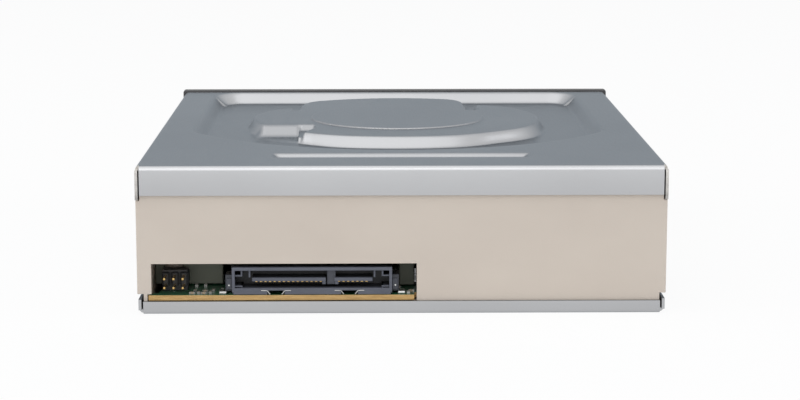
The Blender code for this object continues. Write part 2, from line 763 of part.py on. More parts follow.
def build_bottom_cover():
    """Shallow lower cover with a rear lip, side flanges, a stiffening recess and screw dimples."""
    bm = bmesh.new()
    flange_half = LOWER_WIDTH / 2
    bend_x = flange_half - BEND_RADIUS
    bend_y = REAR - BEND_RADIUS
    relief_y = bend_y - RELIEF
    lip_half = LOWER_LIP_WIDTH / 2
    front = COVER_FRONT + GAP
    edge = [(bend_x, front), (bend_x, relief_y), (lip_half, relief_y + RELIEF / 2), (lip_half, bend_y),
            (-lip_half, bend_y), (-lip_half, relief_y + RELIEF / 2), (-bend_x, relief_y),
            (-bend_x, front)]
    rim = draw_loop(bm, edge, 0.0)
    low = (-RECESS_HALF_WIDTH, RECESS_FRONT_Y)
    high = (RECESS_HALF_WIDTH, RECESS_REAR_Y)
    recess = round_rectangle(low, high, RECESS_CORNER, SMALL_CORNER_POINTS)
    recess_edge, recess_floor = press(bm, recess, DIMPLE_SLOPE, 0.0, RECESS_DEPTH, 1)
    fill_flat(bm, [recess_floor])
    borders = [rim, recess_edge]
    for place in screw_places():
        ring = circle(place, DIMPLE_RADIUS, SMALL_SEGMENTS)
        dimple_edge, dimple_floor = press(bm, ring, DIMPLE_SLOPE, 0.0, DIMPLE_DEPTH, 1)
        fill_flat(bm, [dimple_floor])
        borders.append(dimple_edge)
    fill_flat(bm, borders)
    lip = bend(bm, edges_on(bm, 1, bend_y), (0.0, bend_y, BEND_RADIUS), (1, 0, 0), 90)
    draw_out(bm, lip, (0.0, 0.0, LOWER_LIP_HEIGHT - BEND_RADIUS))
    for side in (-1, 1):
        line = edges_on(bm, 0, side * bend_x)
        flange = bend(bm, line, (side * bend_x, 0.0, BEND_RADIUS), (0, 1, 0), -side * 90)
        draw_out(bm, flange, (0.0, 0.0, LOWER_FLANGE_HEIGHT - BEND_RADIUS))
        end = [e for e in edges_on(bm, 1, relief_y)
               if all(abs(abs(vert.co.x) - flange_half) < TOLERANCE for vert in e.verts)
               and e.verts[0].co.x * side > 0]
        draw_out(bm, end, (0.0, REAR - relief_y, 0.0))
    cover = sheet_metal("bottom_cover", bm, False)
    tools = []
    for x, y in screw_places():
        tools.append(rod((x, y, -SHEET), (x, y, DIMPLE_DEPTH + 2 * SHEET), SCREW_SHANK_RADIUS + GAP,
                         HOLE_SEGMENTS))
    for y in fixing_rows():
        for x in (-BOTTOM_HOLE_SPACING / 2, BOTTOM_HOLE_SPACING / 2):
            tools.append(rod((x, y, -SHEET), (x, y, 2 * SHEET), FIX_HOLE_RADIUS + GAP, HOLE_SEGMENTS))
    cut(cover, tools)
    return add_part(cover, "bottom_cover", ZINC_STEEL)


def build_cover_screws():
    """Four flat-headed screws that hold the lower cover to the frame's posts."""
    head_top = DIMPLE_DEPTH - GAP
    head_low = head_top - SCREW_HEAD_HEIGHT
    for number, (x, y) in enumerate(screw_places(), 1):
        profile = [(0.0, SCREW_LENGTH), (SCREW_SHANK_RADIUS, SCREW_LENGTH - SCREW_SHANK_RADIUS / 2),
                   (SCREW_SHANK_RADIUS, head_top), (SCREW_HEAD_RADIUS, head_top),
                   (SCREW_HEAD_RADIUS, head_low + SCREW_HEAD_HEIGHT / 3),
                   (SCREW_FACE_RADIUS, head_low), (0.0, head_low)]
        screw = turned("cover_screw", profile, HOLE_SEGMENTS, (x, y, 0.0))
        add_part(screw, "cover_screw_" + str(number), DARK_STEEL)


def frame_half():
    """Half the moulded frame's width, inside the cover's side flaps."""
    return SIDE - SHEET - GAP


def frame_rear():
    """Rear face of the moulded frame, just inside the cover's rear flap."""
    return REAR - SHEET - GAP


def pinion_x():
    """Centre of the pulley gear, one mesh distance from the tray gear."""
    return GEAR_X - MODULE * (WHEEL_TEETH + PINION_TEETH) / 2


def build_main_frame():
    """Moulded loader frame: walls, deck, tray ledges, hooks, posts and the connector window."""
    half = frame_half()
    rear = frame_rear()
    front = COVER_FRONT + GAP
    inner = half - FRAME_WALL
    low = SHEET + GAP
    top = BODY_HEIGHT - SHEET - GAP
    deck_top = DECK_BOTTOM + DECK_THICKNESS
    bite = UNION_OVERLAP
    ledge_top = TRAY_BOTTOM - GAP
    frame = block((-half, front, low), (half, rear, top), "main_frame")
    cut(frame, [
        block((-inner, front - SHEET, low - SHEET), (inner, rear - FRAME_WALL, DECK_BOTTOM)),
        block((-inner, front - SHEET, deck_top), (inner, rear - FRAME_WALL, top + SHEET)),
    ])
    added = [block((-inner - bite, front, low), (inner + bite, front + FRAME_WALL, FRONT_WALL_TOP))]
    added += both_sides((LEDGE_INNER, front, ledge_top - LEDGE_THICKNESS),
                        (inner + bite, rear - bite, ledge_top))
    hook_low = TRAY_TOP + GAP
    for y in (front + HOOK_LENGTH, -HOOK_LENGTH / 2, WELL_REAR_Y - HOOK_LENGTH):
        added += both_sides((inner - HOOK_REACH, y, hook_low),
                            (inner + bite, y + HOOK_LENGTH, hook_low + HOOK_THICKNESS))
    seat_top = BRIDGE_BOTTOM - GAP
    added += both_sides((inner - HOOK_REACH, BRIDGE_FRONT_Y, seat_top - HOOK_THICKNESS),
                        (inner + bite, BRIDGE_REAR_Y, seat_top))
    for y in fixing_rows():
        start, end = y - BOSS_LENGTH / 2, y + BOSS_LENGTH / 2
        added += both_sides((half - BOSS_REACH, start, low),
                            (inner + bite, end, ledge_top - LEDGE_THICKNESS / 2))
        added += both_sides((TRAY_HALF_WIDTH + 2 * GAP, start, ledge_top - bite),
                            (inner + bite, end, SIDE_HOLE_HIGH + FRAME_WALL))
    post_low = DIMPLE_DEPTH + SHEET + GAP
    for x, y in screw_places():
        added.append(rod((x, y, post_low), (x, y, DECK_BOTTOM + bite), SCREW_POST_RADIUS, SMALL_SEGMENTS))
    for x, y in BOARD_POSTS:
        added.append(rod((x, y, BOARD_TOP + GAP), (x, y, DECK_BOTTOM + bite), BOARD_POST_RADIUS,
                         HOLE_SEGMENTS))
    gear_seats = ((GEAR_X, RACK_GEAR_TOP, WHEEL_BOTTOM), (pinion_x(), WHEEL_TOP, PULLEY_BOTTOM))
    for x, post_top, seat in gear_seats:
        added.append(rod((x, GEAR_Y, DECK_BOTTOM + bite), (x, GEAR_Y, post_top), POST_RADIUS,
                         SMALL_SEGMENTS))
        added.append(rod((x, GEAR_Y, DECK_BOTTOM + bite), (x, GEAR_Y, seat - GAP), 2 * POST_RADIUS,
                         SMALL_SEGMENTS))
    added += both_sides((WELL_HALF_WIDTH - bite, PIVOT_Y - BRACKET_HALF, DECK_BOTTOM + bite),
                        (WELL_HALF_WIDTH + BRACKET_WIDTH, PIVOT_Y + BRACKET_HALF, PIVOT_Z + BRACKET_HALF))
    web_rear = SLIDER_Y - SLIDER_THICKNESS / 2 - GAP
    catch_rear = SLIDER_Y + SLIDER_THICKNESS / 2 + 2 * GAP
    web_low = low + RECESS_DEPTH
    added.append(block((-SLIDER_WEB_HALF, WELL_FRONT_Y - FRAME_WALL, web_low),
                       (SLIDER_WEB_HALF, web_rear, DECK_BOTTOM + bite)))
    added.append(block((-SLIDER_WEB_HALF, web_rear - bite, web_low),
                       (SLIDER_WEB_HALF, catch_rear, SLIDER_BOTTOM - GAP)))
    for x in SLIDER_HOOKS:
        added.append(block((x, WELL_FRONT_Y - FRAME_WALL, DECK_BOTTOM + bite),
                           (x + HOOK_REACH, web_rear, SLIDER_TOP + HOOK_THICKNESS)))
        added.append(block((x, web_rear - bite, SLIDER_TOP + GAP),
                           (x + HOOK_REACH, catch_rear, SLIDER_TOP + HOOK_THICKNESS)))
    board_post_y = FRONT_BOARD_Y[1] - FRONT_POST_WIDTH
    for x in (FRONT_BOARD_X[0], FRONT_BOARD_X[1] - FRONT_POST_WIDTH):
        added.append(block((x, board_post_y, FRONT_BOARD_TOP + GAP),
                           (x + FRONT_POST_WIDTH, FRONT_BOARD_Y[1], DECK_BOTTOM + bite)))
    join(frame, added)
    beyond = SIDE + SHEET
    behind = REAR + SHEET
    openings = [
        block((-WELL_HALF_WIDTH, WELL_FRONT_Y, DECK_BOTTOM - SHEET),
              (WELL_HALF_WIDTH, WELL_REAR_Y, deck_top + SHEET)),
        block((WINDOW_RIGHT, WELL_REAR_Y + REAR_BEAM, DECK_BOTTOM - SHEET),
              (inner, rear - FRAME_WALL - bite, deck_top + SHEET)),
        block((WINDOW_RIGHT, rear - 2 * FRAME_WALL, BOARD_BOTTOM - GAP),
              (WINDOW_LEFT, behind, WINDOW_TOP)),
        block((WINDOW_RIGHT, rear - 2 * FRAME_WALL, BOARD_BOTTOM - GAP),
              (BOARD_LEFT + GAP, behind, BOARD_TOP + GAP)),
        block((BUTTON_X - FRONT_HOLE_HALF, front - SHEET, BUTTON_Z - FRONT_HOLE_HALF),
              (BUTTON_X + FRONT_HOLE_HALF, front + 2 * FRAME_WALL, BUTTON_Z + FRONT_HOLE_HALF)),
        block((LIGHT_X - LIGHT_HALF_WIDTH - GAP, front - SHEET, BUTTON_Z - LIGHT_HALF_HEIGHT - GAP),
              (LIGHT_X + LIGHT_HALF_WIDTH + GAP, front + 2 * FRAME_WALL,
               BUTTON_Z + LIGHT_HALF_HEIGHT + GAP)),
        rod((MOTOR_X, MOTOR_Y, DECK_BOTTOM - SHEET), (MOTOR_X, MOTOR_Y, deck_top + SHEET),
            MOTOR_BOSS_RADIUS + GAP, SMALL_SEGMENTS),
    ]
    openings += both_sides((LOWER_FRAME_HALF, front - SHEET, 0.0), (beyond, behind, LOWER_NOTCH_Z))
    openings += both_sides((LOWER_WALL_HALF, rear - FRAME_WALL, 0.0), (beyond, behind, LOWER_NOTCH_Z))
    openings += side_hole_tools(FIX_HOLE_RADIUS, BOSS_REACH)
    for y in fixing_rows():
        for x in (-BOTTOM_HOLE_SPACING / 2, BOTTOM_HOLE_SPACING / 2):
            openings.append(rod((x, y, 0.0), (x, y, BOTTOM_HOLE_DEPTH), FIX_HOLE_RADIUS, HOLE_SEGMENTS))
    for x, y in screw_places():
        openings.append(rod((x, y, 0.0), (x, y, SCREW_LENGTH + SHEET), SCREW_SHANK_RADIUS + GAP,
                            HOLE_SEGMENTS))
    for side in (-1, 1):
        openings.append(rod((side * (WELL_HALF_WIDTH - SHEET), PIVOT_Y, PIVOT_Z),
                            (side * (WELL_HALF_WIDTH + 2 * BRACKET_WIDTH), PIVOT_Y, PIVOT_Z),
                            PIVOT_RADIUS + GAP, SMALL_SEGMENTS))
    cut(frame, openings)
    return add_part(frame, "main_frame", BEIGE_PLASTIC)


def build_main_board():
    """Green board with a tab that fills the connector window."""
    rear = frame_rear()
    inner = rear - FRAME_WALL - GAP
    outline = [(BOARD_RIGHT, rear), (BOARD_RIGHT, inner), (BOARD_INNER_RIGHT, inner),
               (BOARD_INNER_RIGHT, BOARD_FRONT_Y), (BOARD_INNER_LEFT, BOARD_FRONT_Y),
               (BOARD_LEFT - FRAME_WALL, inner), (BOARD_LEFT, inner), (BOARD_LEFT, rear)]
    board = plate([outline], BOARD_BOTTOM, BOARD_TOP, "main_board")
    tools = []
    for x, y in screw_places():
        tools.append(rod((x, y, 0.0), (x, y, DECK_BOTTOM), SCREW_POST_RADIUS + GAP, SMALL_SEGMENTS))
    cut(board, tools)
    return add_part(board, "main_board", BOARD_GREEN)


def tongue(span, leg_at_right):
    """One contact tongue with the short leg that keys it."""
    left, right = span
    root = frame_rear() - CAVITY_DEPTH - SHEET
    tip = frame_rear() - TONGUE_FRONT_GAP
    high = TONGUE_LOW + TONGUE_THICKNESS
    leg_x = right if leg_at_right else left - LEG_WIDTH
    bar = block((right, root, TONGUE_LOW), (left, tip, high))
    leg = block((leg_x, root - GAP, TONGUE_LOW - LEG_DROP), (leg_x + LEG_WIDTH, tip - GAP, high - GAP))
    return [bar, leg]


def build_sata_connector():
    """Data and power receptacle: shroud, ears, two keyed tongues and the block between them."""
    rear = frame_rear()
    seat = BOARD_TOP + SOLDER_GAP
    front = rear - SHROUD_DEPTH
    shell = block((SHROUD_RIGHT, front, seat), (SHROUD_LEFT, rear, SHROUD_TOP), "sata_connector")
    grip = SHROUD_SIDE / 2
    ear_low, ear_rear = seat + SHEET / 2, front + EAR_DEPTH
    ears = [block((EAR_RIGHT, front + grip, ear_low), (SHROUD_RIGHT + grip, ear_rear, EAR_TOP)),
            block((SHROUD_LEFT - grip, front + grip, ear_low), (EAR_LEFT, ear_rear, EAR_TOP))]
    join(shell, ears)
    floor = BOARD_TOP + SHROUD_FLOOR
    mouth = rear - CAVITY_DEPTH
    hollows = [block((SHROUD_RIGHT + SHROUD_SIDE, mouth, floor),
                     (SHROUD_LEFT - SHROUD_SIDE, rear + SHROUD_SIDE, SHROUD_TOP - SHROUD_ROOF))]
    for left, right in FOOT_CUTS:
        hollows.append(block((right, front - SHEET, BOARD_BOTTOM),
                             (left, rear + SHEET, seat + FOOT_CUT_HEIGHT)))
    cut(shell, hollows)
    inside = tongue(POWER_TONGUE, True) + tongue(SIGNAL_TONGUE, False)
    inside.append(block((KEY_BLOCK[1], mouth - SHEET / 2, TONGUE_LOW + GAP),
                        (KEY_BLOCK[0], rear - 2 * TONGUE_FRONT_GAP, SHROUD_TOP - SHROUD_ROOF / 2)))
    combine(shell, 'UNION', inside)
    return add_part(shell, "sata_connector", CONNECTOR_PLASTIC)


def build_jumper_header():
    """Six square pins bent over in a small black body, pointing to the rear."""
    rear = frame_rear()
    seat = BOARD_TOP + SOLDER_GAP
    left = HEADER_LEFT_X + PIN_PITCH / 2
    right = left - 3 * PIN_PITCH
    body_rear = rear - PIN_LENGTH
    body = block((right, body_rear - HEADER_BODY_DEPTH, seat),
                 (left, body_rear, seat + HEADER_BODY_HEIGHT), "jumper_header")
    pins = []
    for column in range(3):
        x = HEADER_LEFT_X - column * PIN_PITCH
        for row in range(2):
            z = HEADER_PIN_LOW + row * PIN_PITCH
            pins.append(block((x - PIN_SIZE / 2, body_rear - PIN_SIZE, z - PIN_SIZE / 2),
                              (x + PIN_SIZE / 2, rear - PIN_SIZE, z + PIN_SIZE / 2)))
    join(body, pins)
    return add_part(body, "jumper_header", CHIP_BLACK)


def build_board_pieces():
    """Chips, capacitors and the flat cable socket, each soldered to the main board."""
    seat = BOARD_TOP + SOLDER_GAP
    for name, centre, size in BOARD_CHIPS:
        half = (size[0] / 2, size[1] / 2)
        low = (centre[0] - half[0], centre[1] - half[1], seat)
        high = (centre[0] + half[0], centre[1] + half[1], seat + size[2])
        chip = block(low, high, name)
        edge = chip.modifiers.new("Edge", 'BEVEL')
        edge.width = CHIP_BEVEL
        edge.segments = 1
        add_part(chip, name, WHITE_PLASTIC if "socket" in name else CHIP_BLACK)
    for number, (x, y) in enumerate(CAPACITOR_PLACES, 1):
        profile = [(0.0, CAPACITOR_HEIGHT), (CAPACITOR_RADIUS - CAPACITOR_ROUND, CAPACITOR_HEIGHT),
                   (CAPACITOR_RADIUS, CAPACITOR_HEIGHT - CAPACITOR_ROUND_HEIGHT),
                   (CAPACITOR_RADIUS, CAPACITOR_BASE + CAPACITOR_ROUND_HEIGHT),
                   (CAPACITOR_RADIUS + CAPACITOR_ROUND, CAPACITOR_BASE),
                   (CAPACITOR_RADIUS + CAPACITOR_ROUND, 0.0), (0.0, 0.0)]
        can = turned("capacitor", profile, SMALL_SEGMENTS, (x, y, seat))
        add_part(can, "capacitor_" + str(number), BRIGHT_STEEL)


def build_front_board():
    """Small board behind the bezel with the eject switch and the indicator."""
    low = FRONT_BOARD_TOP - FRONT_BOARD_THICKNESS
    board = block((FRONT_BOARD_X[0], FRONT_BOARD_Y[0], low),
                  (FRONT_BOARD_X[1], FRONT_BOARD_Y[1], FRONT_BOARD_TOP), "front_board")
    add_part(board, "front_board", BOARD_GREEN)
    seat = FRONT_BOARD_TOP + SOLDER_GAP
    front = FRONT_BOARD_Y[0] + FRONT_POST_WIDTH / 4
    switch = block((BUTTON_X - SWITCH_SIZE / 2, front, seat),
                   (BUTTON_X + SWITCH_SIZE / 2, front + SWITCH_DEPTH, seat + SWITCH_HEIGHT),
                   "eject_switch")
    plunger = rod((BUTTON_X, front + SHEET, BUTTON_Z), (BUTTON_X, front - SWITCH_PLUNGER, BUTTON_Z),
                  SWITCH_PLUNGER_RADIUS, HOLE_SEGMENTS)
    join(switch, [plunger])
    add_part(switch, "eject_switch", CHIP_BLACK)
    lamp = block((LIGHT_X - LIGHT_HALF_WIDTH / 2, front, seat),
                 (LIGHT_X + LIGHT_HALF_WIDTH / 2, front + LIGHT_HALF_WIDTH,
                  BUTTON_Z + LIGHT_HALF_HEIGHT), "indicator_led")
    add_part(lamp, "indicator_led", WHITE_PLASTIC)
    pipe = block((LIGHT_X - LIGHT_HALF_WIDTH, FRONT, BUTTON_Z - LIGHT_HALF_HEIGHT),
                 (LIGHT_X + LIGHT_HALF_WIDTH, front - GAP, BUTTON_Z + LIGHT_HALF_HEIGHT), "light_pipe")
    add_part(pipe, "light_pipe", AMBER_LIGHT)


def build_front_bezel():
    """Plain moulded bezel with the door opening, button hole, light window and release hole."""
    back = COVER_FRONT
    face_back = FRONT + BEZEL_WALL
    bezel = block((-BEZEL_HALF_WIDTH, FRONT, BEZEL_BOTTOM), (BEZEL_HALF_WIDTH, back, BEZEL_TOP),
                  "front_bezel")
    edge = bezel.modifiers.new("Edge", 'BEVEL')
    edge.width = BEZEL_EDGE
    edge.segments = 2
    edge.limit_method = 'ANGLE'
    rim = BEZEL_RIM
    wide = DOOR_HALF_WIDTH + DOOR_GAP
    tools = [block((-BEZEL_HALF_WIDTH + rim, face_back, BEZEL_BOTTOM + rim),
                   (BEZEL_HALF_WIDTH - rim, back + SHEET, BEZEL_TOP - rim)),
             block((-wide, FRONT - SHEET, DOOR_BOTTOM - DOOR_GAP),
                   (wide, back + SHEET, DOOR_TOP + DOOR_GAP)),
             block((BUTTON_X - BUTTON_HALF_WIDTH - GAP, FRONT - SHEET,
                    BUTTON_Z - BUTTON_HALF_HEIGHT - GAP),
                   (BUTTON_X + BUTTON_HALF_WIDTH + GAP, back, BUTTON_Z + BUTTON_HALF_HEIGHT + GAP)),
             block((LIGHT_X - LIGHT_HALF_WIDTH - GAP, FRONT - SHEET, BUTTON_Z - LIGHT_HALF_HEIGHT - GAP),
                   (LIGHT_X + LIGHT_HALF_WIDTH + GAP, back, BUTTON_Z + LIGHT_HALF_HEIGHT + GAP)),
             rod((PINHOLE_X, FRONT - SHEET, BUTTON_Z), (PINHOLE_X, back, BUTTON_Z), PINHOLE_RADIUS,
                 HOLE_SEGMENTS)]
    cut(bezel, tools)
    return add_part(bezel, "front_bezel", BLACK_PLASTIC)


def build_eject_button():
    """Push button with a retaining flange and a stem that reaches the switch."""
    flange_front = FRONT + BEZEL_WALL + GAP + BUTTON_TRAVEL / 2
    switch_tip = FRONT_BOARD_Y[0] + FRONT_POST_WIDTH / 4 - SWITCH_PLUNGER
    stem_end = switch_tip - GAP - BUTTON_TRAVEL
    empty = pivot("eject_press_axis", (BUTTON_X, FRONT, BUTTON_Z))
    cap = block((BUTTON_X - BUTTON_HALF_WIDTH, FRONT, BUTTON_Z - BUTTON_HALF_HEIGHT),
                (BUTTON_X + BUTTON_HALF_WIDTH, flange_front + SHEET / 2, BUTTON_Z + BUTTON_HALF_HEIGHT),
                "eject_button")
    flange = block((BUTTON_X - BUTTON_HALF_WIDTH - SHEET, flange_front,
                    BUTTON_Z - BUTTON_HALF_HEIGHT - SHEET),
                   (BUTTON_X + BUTTON_HALF_WIDTH + SHEET, flange_front + SHEET,
                    BUTTON_Z + BUTTON_HALF_HEIGHT + SHEET))
    stem = block((BUTTON_X - BUTTON_HALF_HEIGHT, flange_front + SHEET / 2,
                  BUTTON_Z - BUTTON_HALF_HEIGHT / 2),
                 (BUTTON_X + BUTTON_HALF_HEIGHT, stem_end, BUTTON_Z + BUTTON_HALF_HEIGHT / 2))
    join(cap, [flange, stem])
    return add_part(cap, "eject_button", BLACK_PLASTIC, empty)


def build_tray(empty):
    """Loading tray: side rails, disc well, centre slot open to the rear, finger notches and rack."""
    front = FRONT + DOOR_THICKNESS + GAP
    tray = block((-TRAY_HALF_WIDTH, front, TRAY_BOTTOM), (TRAY_HALF_WIDTH, TRAY_REAR_Y, TRAY_TOP), "tray")
    rail_inner = TRAY_HALF_WIDTH - TRAY_RAIL_WIDTH
    beyond = TRAY_TOP + SHEET
    well_radius = DISC_RADIUS + DISC_WELL_CLEARANCE
    cut(tray, [
        block((-rail_inner, front + TRAY_RAIL_WIDTH, TRAY_BOTTOM - SHEET),
              (rail_inner, TRAY_REAR_Y + SHEET, TRAY_FLOOR_BOTTOM)),
        rod((0.0, SPINDLE_Y, TRAY_FLOOR_TOP), (0.0, SPINDLE_Y, beyond), well_radius, WELL_SEGMENTS),
    ])
    slots = [rod((0.0, SPINDLE_Y, TRAY_BOTTOM), (0.0, SPINDLE_Y, beyond), SLOT_HALF_WIDTH,
                 ROUND_SEGMENTS),
             rod((0.0, SPINDLE_Y, TRAY_FLOOR_TOP - SMALL_WELL_DEPTH), (0.0, SPINDLE_Y, TRAY_TOP - SHEET),
                 SMALL_DISC_RADIUS, WELL_SEGMENTS)]
    for side in (-1, 1):
        x = side * NOTCH_X
        slots.append(rod((x, NOTCH_Y, TRAY_FLOOR_TOP - SMALL_WELL_DEPTH), (x, NOTCH_Y, beyond),
                         NOTCH_RADIUS, SMALL_SEGMENTS))
    slots.append(block((-REAR_NOTCH_HALF, SPINDLE_Y + well_radius - SHEET, TRAY_FLOOR_TOP),
                       (REAR_NOTCH_HALF, TRAY_REAR_Y + SHEET, beyond)))
    cut(tray, slots)
    cut(tray, [block((-SLOT_HALF_WIDTH, SPINDLE_Y, TRAY_BOTTOM - SHEET),
                     (SLOT_HALF_WIDTH, TRAY_REAR_Y + SHEET, beyond + SHEET))])
    join(tray, [tray_rack(rail_inner)])
    return add_part(tray, "tray", BLACK_PLASTIC, empty)


def tray_rack(rail_inner):
    """Rack under the tray, with a space at rest beside the middle of the gear."""
    pitch_line = GEAR_X + MODULE * RACK_GEAR_TEETH / 2
    pitch = math.pi * MODULE
    tip = pitch_line - ADDENDUM * MODULE
    root = pitch_line + DEDENDUM * MODULE
    slant = math.tan(math.radians(PRESSURE_ANGLE))
    half = pitch / 4 - BACKLASH / 2
    first = GEAR_Y + pitch / 2
    start = GEAR_Y - RACK_LEAD
    points = []
    back_teeth = int((first - start) / pitch)
    forward_teeth = int((TRAY_REAR_Y - first) / pitch)
    for index in range(-back_teeth, forward_teeth):
        middle = first + index * pitch
        at_root = half + (root - pitch_line) * slant
        at_tip = half - (pitch_line - tip) * slant
        points += [(root, middle - at_root), (tip, middle - at_tip), (tip, middle + at_tip),
                   (root, middle + at_root)]
    back = rail_inner + TRAY_RAIL_WIDTH / 2
    outline = [(back, points[0][1] - MODULE)] + [(root, points[0][1] - MODULE)] + points
    outline += [(root, points[-1][1] + MODULE), (back, points[-1][1] + MODULE)]
    return plate([outline], TRAY_BOTTOM + GAP, TRAY_FLOOR_BOTTOM + GAP, "rack")


def build_tray_door(empty):
    """Front panel of the tray, clipped to it, with a softly rounded front edge."""
    door = block((-DOOR_HALF_WIDTH, FRONT, DOOR_BOTTOM),
                 (DOOR_HALF_WIDTH, FRONT + DOOR_THICKNESS, DOOR_TOP), "tray_door")
    edge = door.modifiers.new("Edge", 'BEVEL')
    edge.width = BEZEL_EDGE
    edge.segments = 2
    return add_part(door, "tray_door", BLACK_PLASTIC, empty)


def involute_outline(teeth, tooth_at_zero=True, flank_steps=2):
    """A gear's outline with involute flanks, one tooth or one space pointing along +X."""
    radius = MODULE * teeth / 2
    pressure = math.radians(PRESSURE_ANGLE)
    base = radius * math.cos(pressure)
    tip = radius + ADDENDUM * MODULE
    root = radius - DEDENDUM * MODULE
    half_at_pitch = math.pi / (2 * teeth) - BACKLASH / (2 * radius)
    involute_at_pitch = math.tan(pressure) - pressure
    flank = []
    start = max(base, root)
    for step in range(flank_steps + 1):
        at = start + (tip - start) * step / flank_steps
        roll = math.acos(base / at)
        flank.append((at, half_at_pitch + involute_at_pitch - (math.tan(roll) - roll)))
    if root < base:
        flank.insert(0, (root, flank[0][1]))
    points = []
    for index in range(teeth):
        middle = 2 * math.pi * (index if tooth_at_zero else index + 0.5) / teeth
        rising = [(at, middle - half) for at, half in flank]
        falling = [(at, middle + half) for at, half in reversed(flank)]
        points += [(at * math.cos(angle), at * math.sin(angle)) for at, angle in rising + falling]
    return points


def gear(teeth, low, high, bore, tooth_at_zero=True, name="gear"):
    """A spur gear with its bore, centred on its own axis."""
    return plate([involute_outline(teeth, tooth_at_zero), circle((0.0, 0.0), bore, SMALL_SEGMENTS)], low,
                 high, name)


def build_loading_gears():
    """Tray gear, pulley gear, motor with its pulley, and the drive belt between the pulleys."""
    bore = POST_RADIUS + GAP
    tray_axis = pivot("tray_gear_axis", (GEAR_X, GEAR_Y, 0.0))
    upper = gear(RACK_GEAR_TEETH, RACK_GEAR_BOTTOM, RACK_GEAR_TOP, bore, True, "tray_gear")
    wheel = gear(WHEEL_TEETH, WHEEL_BOTTOM, WHEEL_TOP, bore)
    collar = ring_solid(WHEEL_TOP - GAP, RACK_GEAR_BOTTOM + GAP, bore, 2 * POST_RADIUS + MODULE)
    join(upper, [wheel, collar])
    for shape in (upper, wheel, collar):
        shape.location.x = GEAR_X
        shape.location.y = GEAR_Y
    add_part(upper, "tray_gear", WHITE_PLASTIC, tray_axis)

    x = pinion_x()
    pulley_axis = pivot("pulley_gear_axis", (x, GEAR_Y, 0.0))
    groove = PULLEY_RADIUS - GROOVE_DEPTH
    rims = (PULLEY_TOP - PULLEY_BOTTOM - GROOVE_WIDTH) / 2
    profile = [(bore, WHEEL_TOP), (PINION_TEETH * MODULE / 2 - 2 * MODULE, WHEEL_TOP),
               (PINION_TEETH * MODULE / 2 - 2 * MODULE, PULLEY_TOP),
               (PULLEY_RADIUS, PULLEY_TOP), (PULLEY_RADIUS, PULLEY_TOP - rims),
               (groove, PULLEY_TOP - rims),
               (groove, PULLEY_BOTTOM + rims), (PULLEY_RADIUS, PULLEY_BOTTOM + rims),
               (PULLEY_RADIUS, PULLEY_BOTTOM), (bore, PULLEY_BOTTOM), (bore, WHEEL_TOP)]
    pulley = turned("pulley_gear", profile, ROUND_SEGMENTS, (x, GEAR_Y, 0.0))
    pinion = gear(PINION_TEETH, PULLEY_TOP - GAP, WHEEL_TOP - GAP / 3, bore + GAP, False)
    pinion.location.x = x
    pinion.location.y = GEAR_Y
    join(pulley, [pinion])
    add_part(pulley, "pulley_gear", WHITE_PLASTIC, pulley_axis)

    motor_axis = pivot("motor_pulley_axis", (MOTOR_X, MOTOR_Y, 0.0))
    small_bore = MOTOR_SHAFT_RADIUS + GAP
    small_groove = MOTOR_PULLEY_RADIUS - GROOVE_DEPTH / 2
    profile = [(small_bore, PULLEY_TOP), (MOTOR_PULLEY_RADIUS, PULLEY_TOP),
               (MOTOR_PULLEY_RADIUS, PULLEY_TOP - rims),
               (small_groove, PULLEY_TOP - rims), (small_groove, PULLEY_BOTTOM + rims),
               (MOTOR_PULLEY_RADIUS, PULLEY_BOTTOM + rims), (MOTOR_PULLEY_RADIUS, PULLEY_BOTTOM),
               (small_bore, PULLEY_BOTTOM), (small_bore, PULLEY_TOP)]
    small = turned("motor_pulley", profile, SMALL_SEGMENTS, (MOTOR_X, MOTOR_Y, 0.0))
    add_part(small, "motor_pulley", WHITE_PLASTIC, motor_axis)

    motor_top = DECK_BOTTOM - GAP
    deck_top = DECK_BOTTOM + DECK_THICKNESS
    profile = [(0.0, PULLEY_TOP - GAP), (MOTOR_SHAFT_RADIUS, PULLEY_TOP - GAP),
               (MOTOR_SHAFT_RADIUS, deck_top),
               (MOTOR_BOSS_RADIUS, deck_top), (MOTOR_BOSS_RADIUS, motor_top),
               (MOTOR_RADIUS - SHEET, motor_top),
               (MOTOR_RADIUS, motor_top - SHEET), (MOTOR_RADIUS, MOTOR_BOTTOM + SHEET),
               (MOTOR_RADIUS - SHEET, MOTOR_BOTTOM), (0.0, MOTOR_BOTTOM)]
    add_part(turned("loading_motor", profile, ROUND_SEGMENTS, (MOTOR_X, MOTOR_Y, 0.0)), "loading_motor",
             BRIGHT_STEEL)

    middle = (PULLEY_TOP + PULLEY_BOTTOM) / 2
    inside = belt_outline(small_groove + GAP, groove + GAP)
    outside = belt_outline(small_groove + GAP + BELT_THICKNESS, groove + GAP + BELT_THICKNESS)
    belt = plate([outside, inside], middle - BELT_WIDTH / 2, middle + BELT_WIDTH / 2, "drive_belt")
    add_part(belt, "drive_belt", RUBBER)


def belt_outline(small_radius, large_radius):
    """The line of an open belt round the motor pulley and the pulley gear."""
    small_centre = Vector((MOTOR_X, MOTOR_Y))
    large_centre = Vector((pinion_x(), GEAR_Y))
    line = large_centre - small_centre
    heading = math.degrees(math.atan2(line.y, line.x))
    contact = math.degrees(math.acos((small_radius - large_radius) / line.length))
    points = arc(large_centre, large_radius, heading - contact, heading + contact, SMALL_SEGMENTS)
    points += arc(small_centre, small_radius, heading + contact, heading + 360 - contact, HOLE_SEGMENTS)
    return points


def ring_solid(low, high, inner_radius, outer_radius):
    """A plain collar about the vertical axis."""
    outlines = [circle((0.0, 0.0), outer_radius, ROUND_SEGMENTS),
                circle((0.0, 0.0), inner_radius, ROUND_SEGMENTS)]
    return plate(outlines, low, high, "collar")


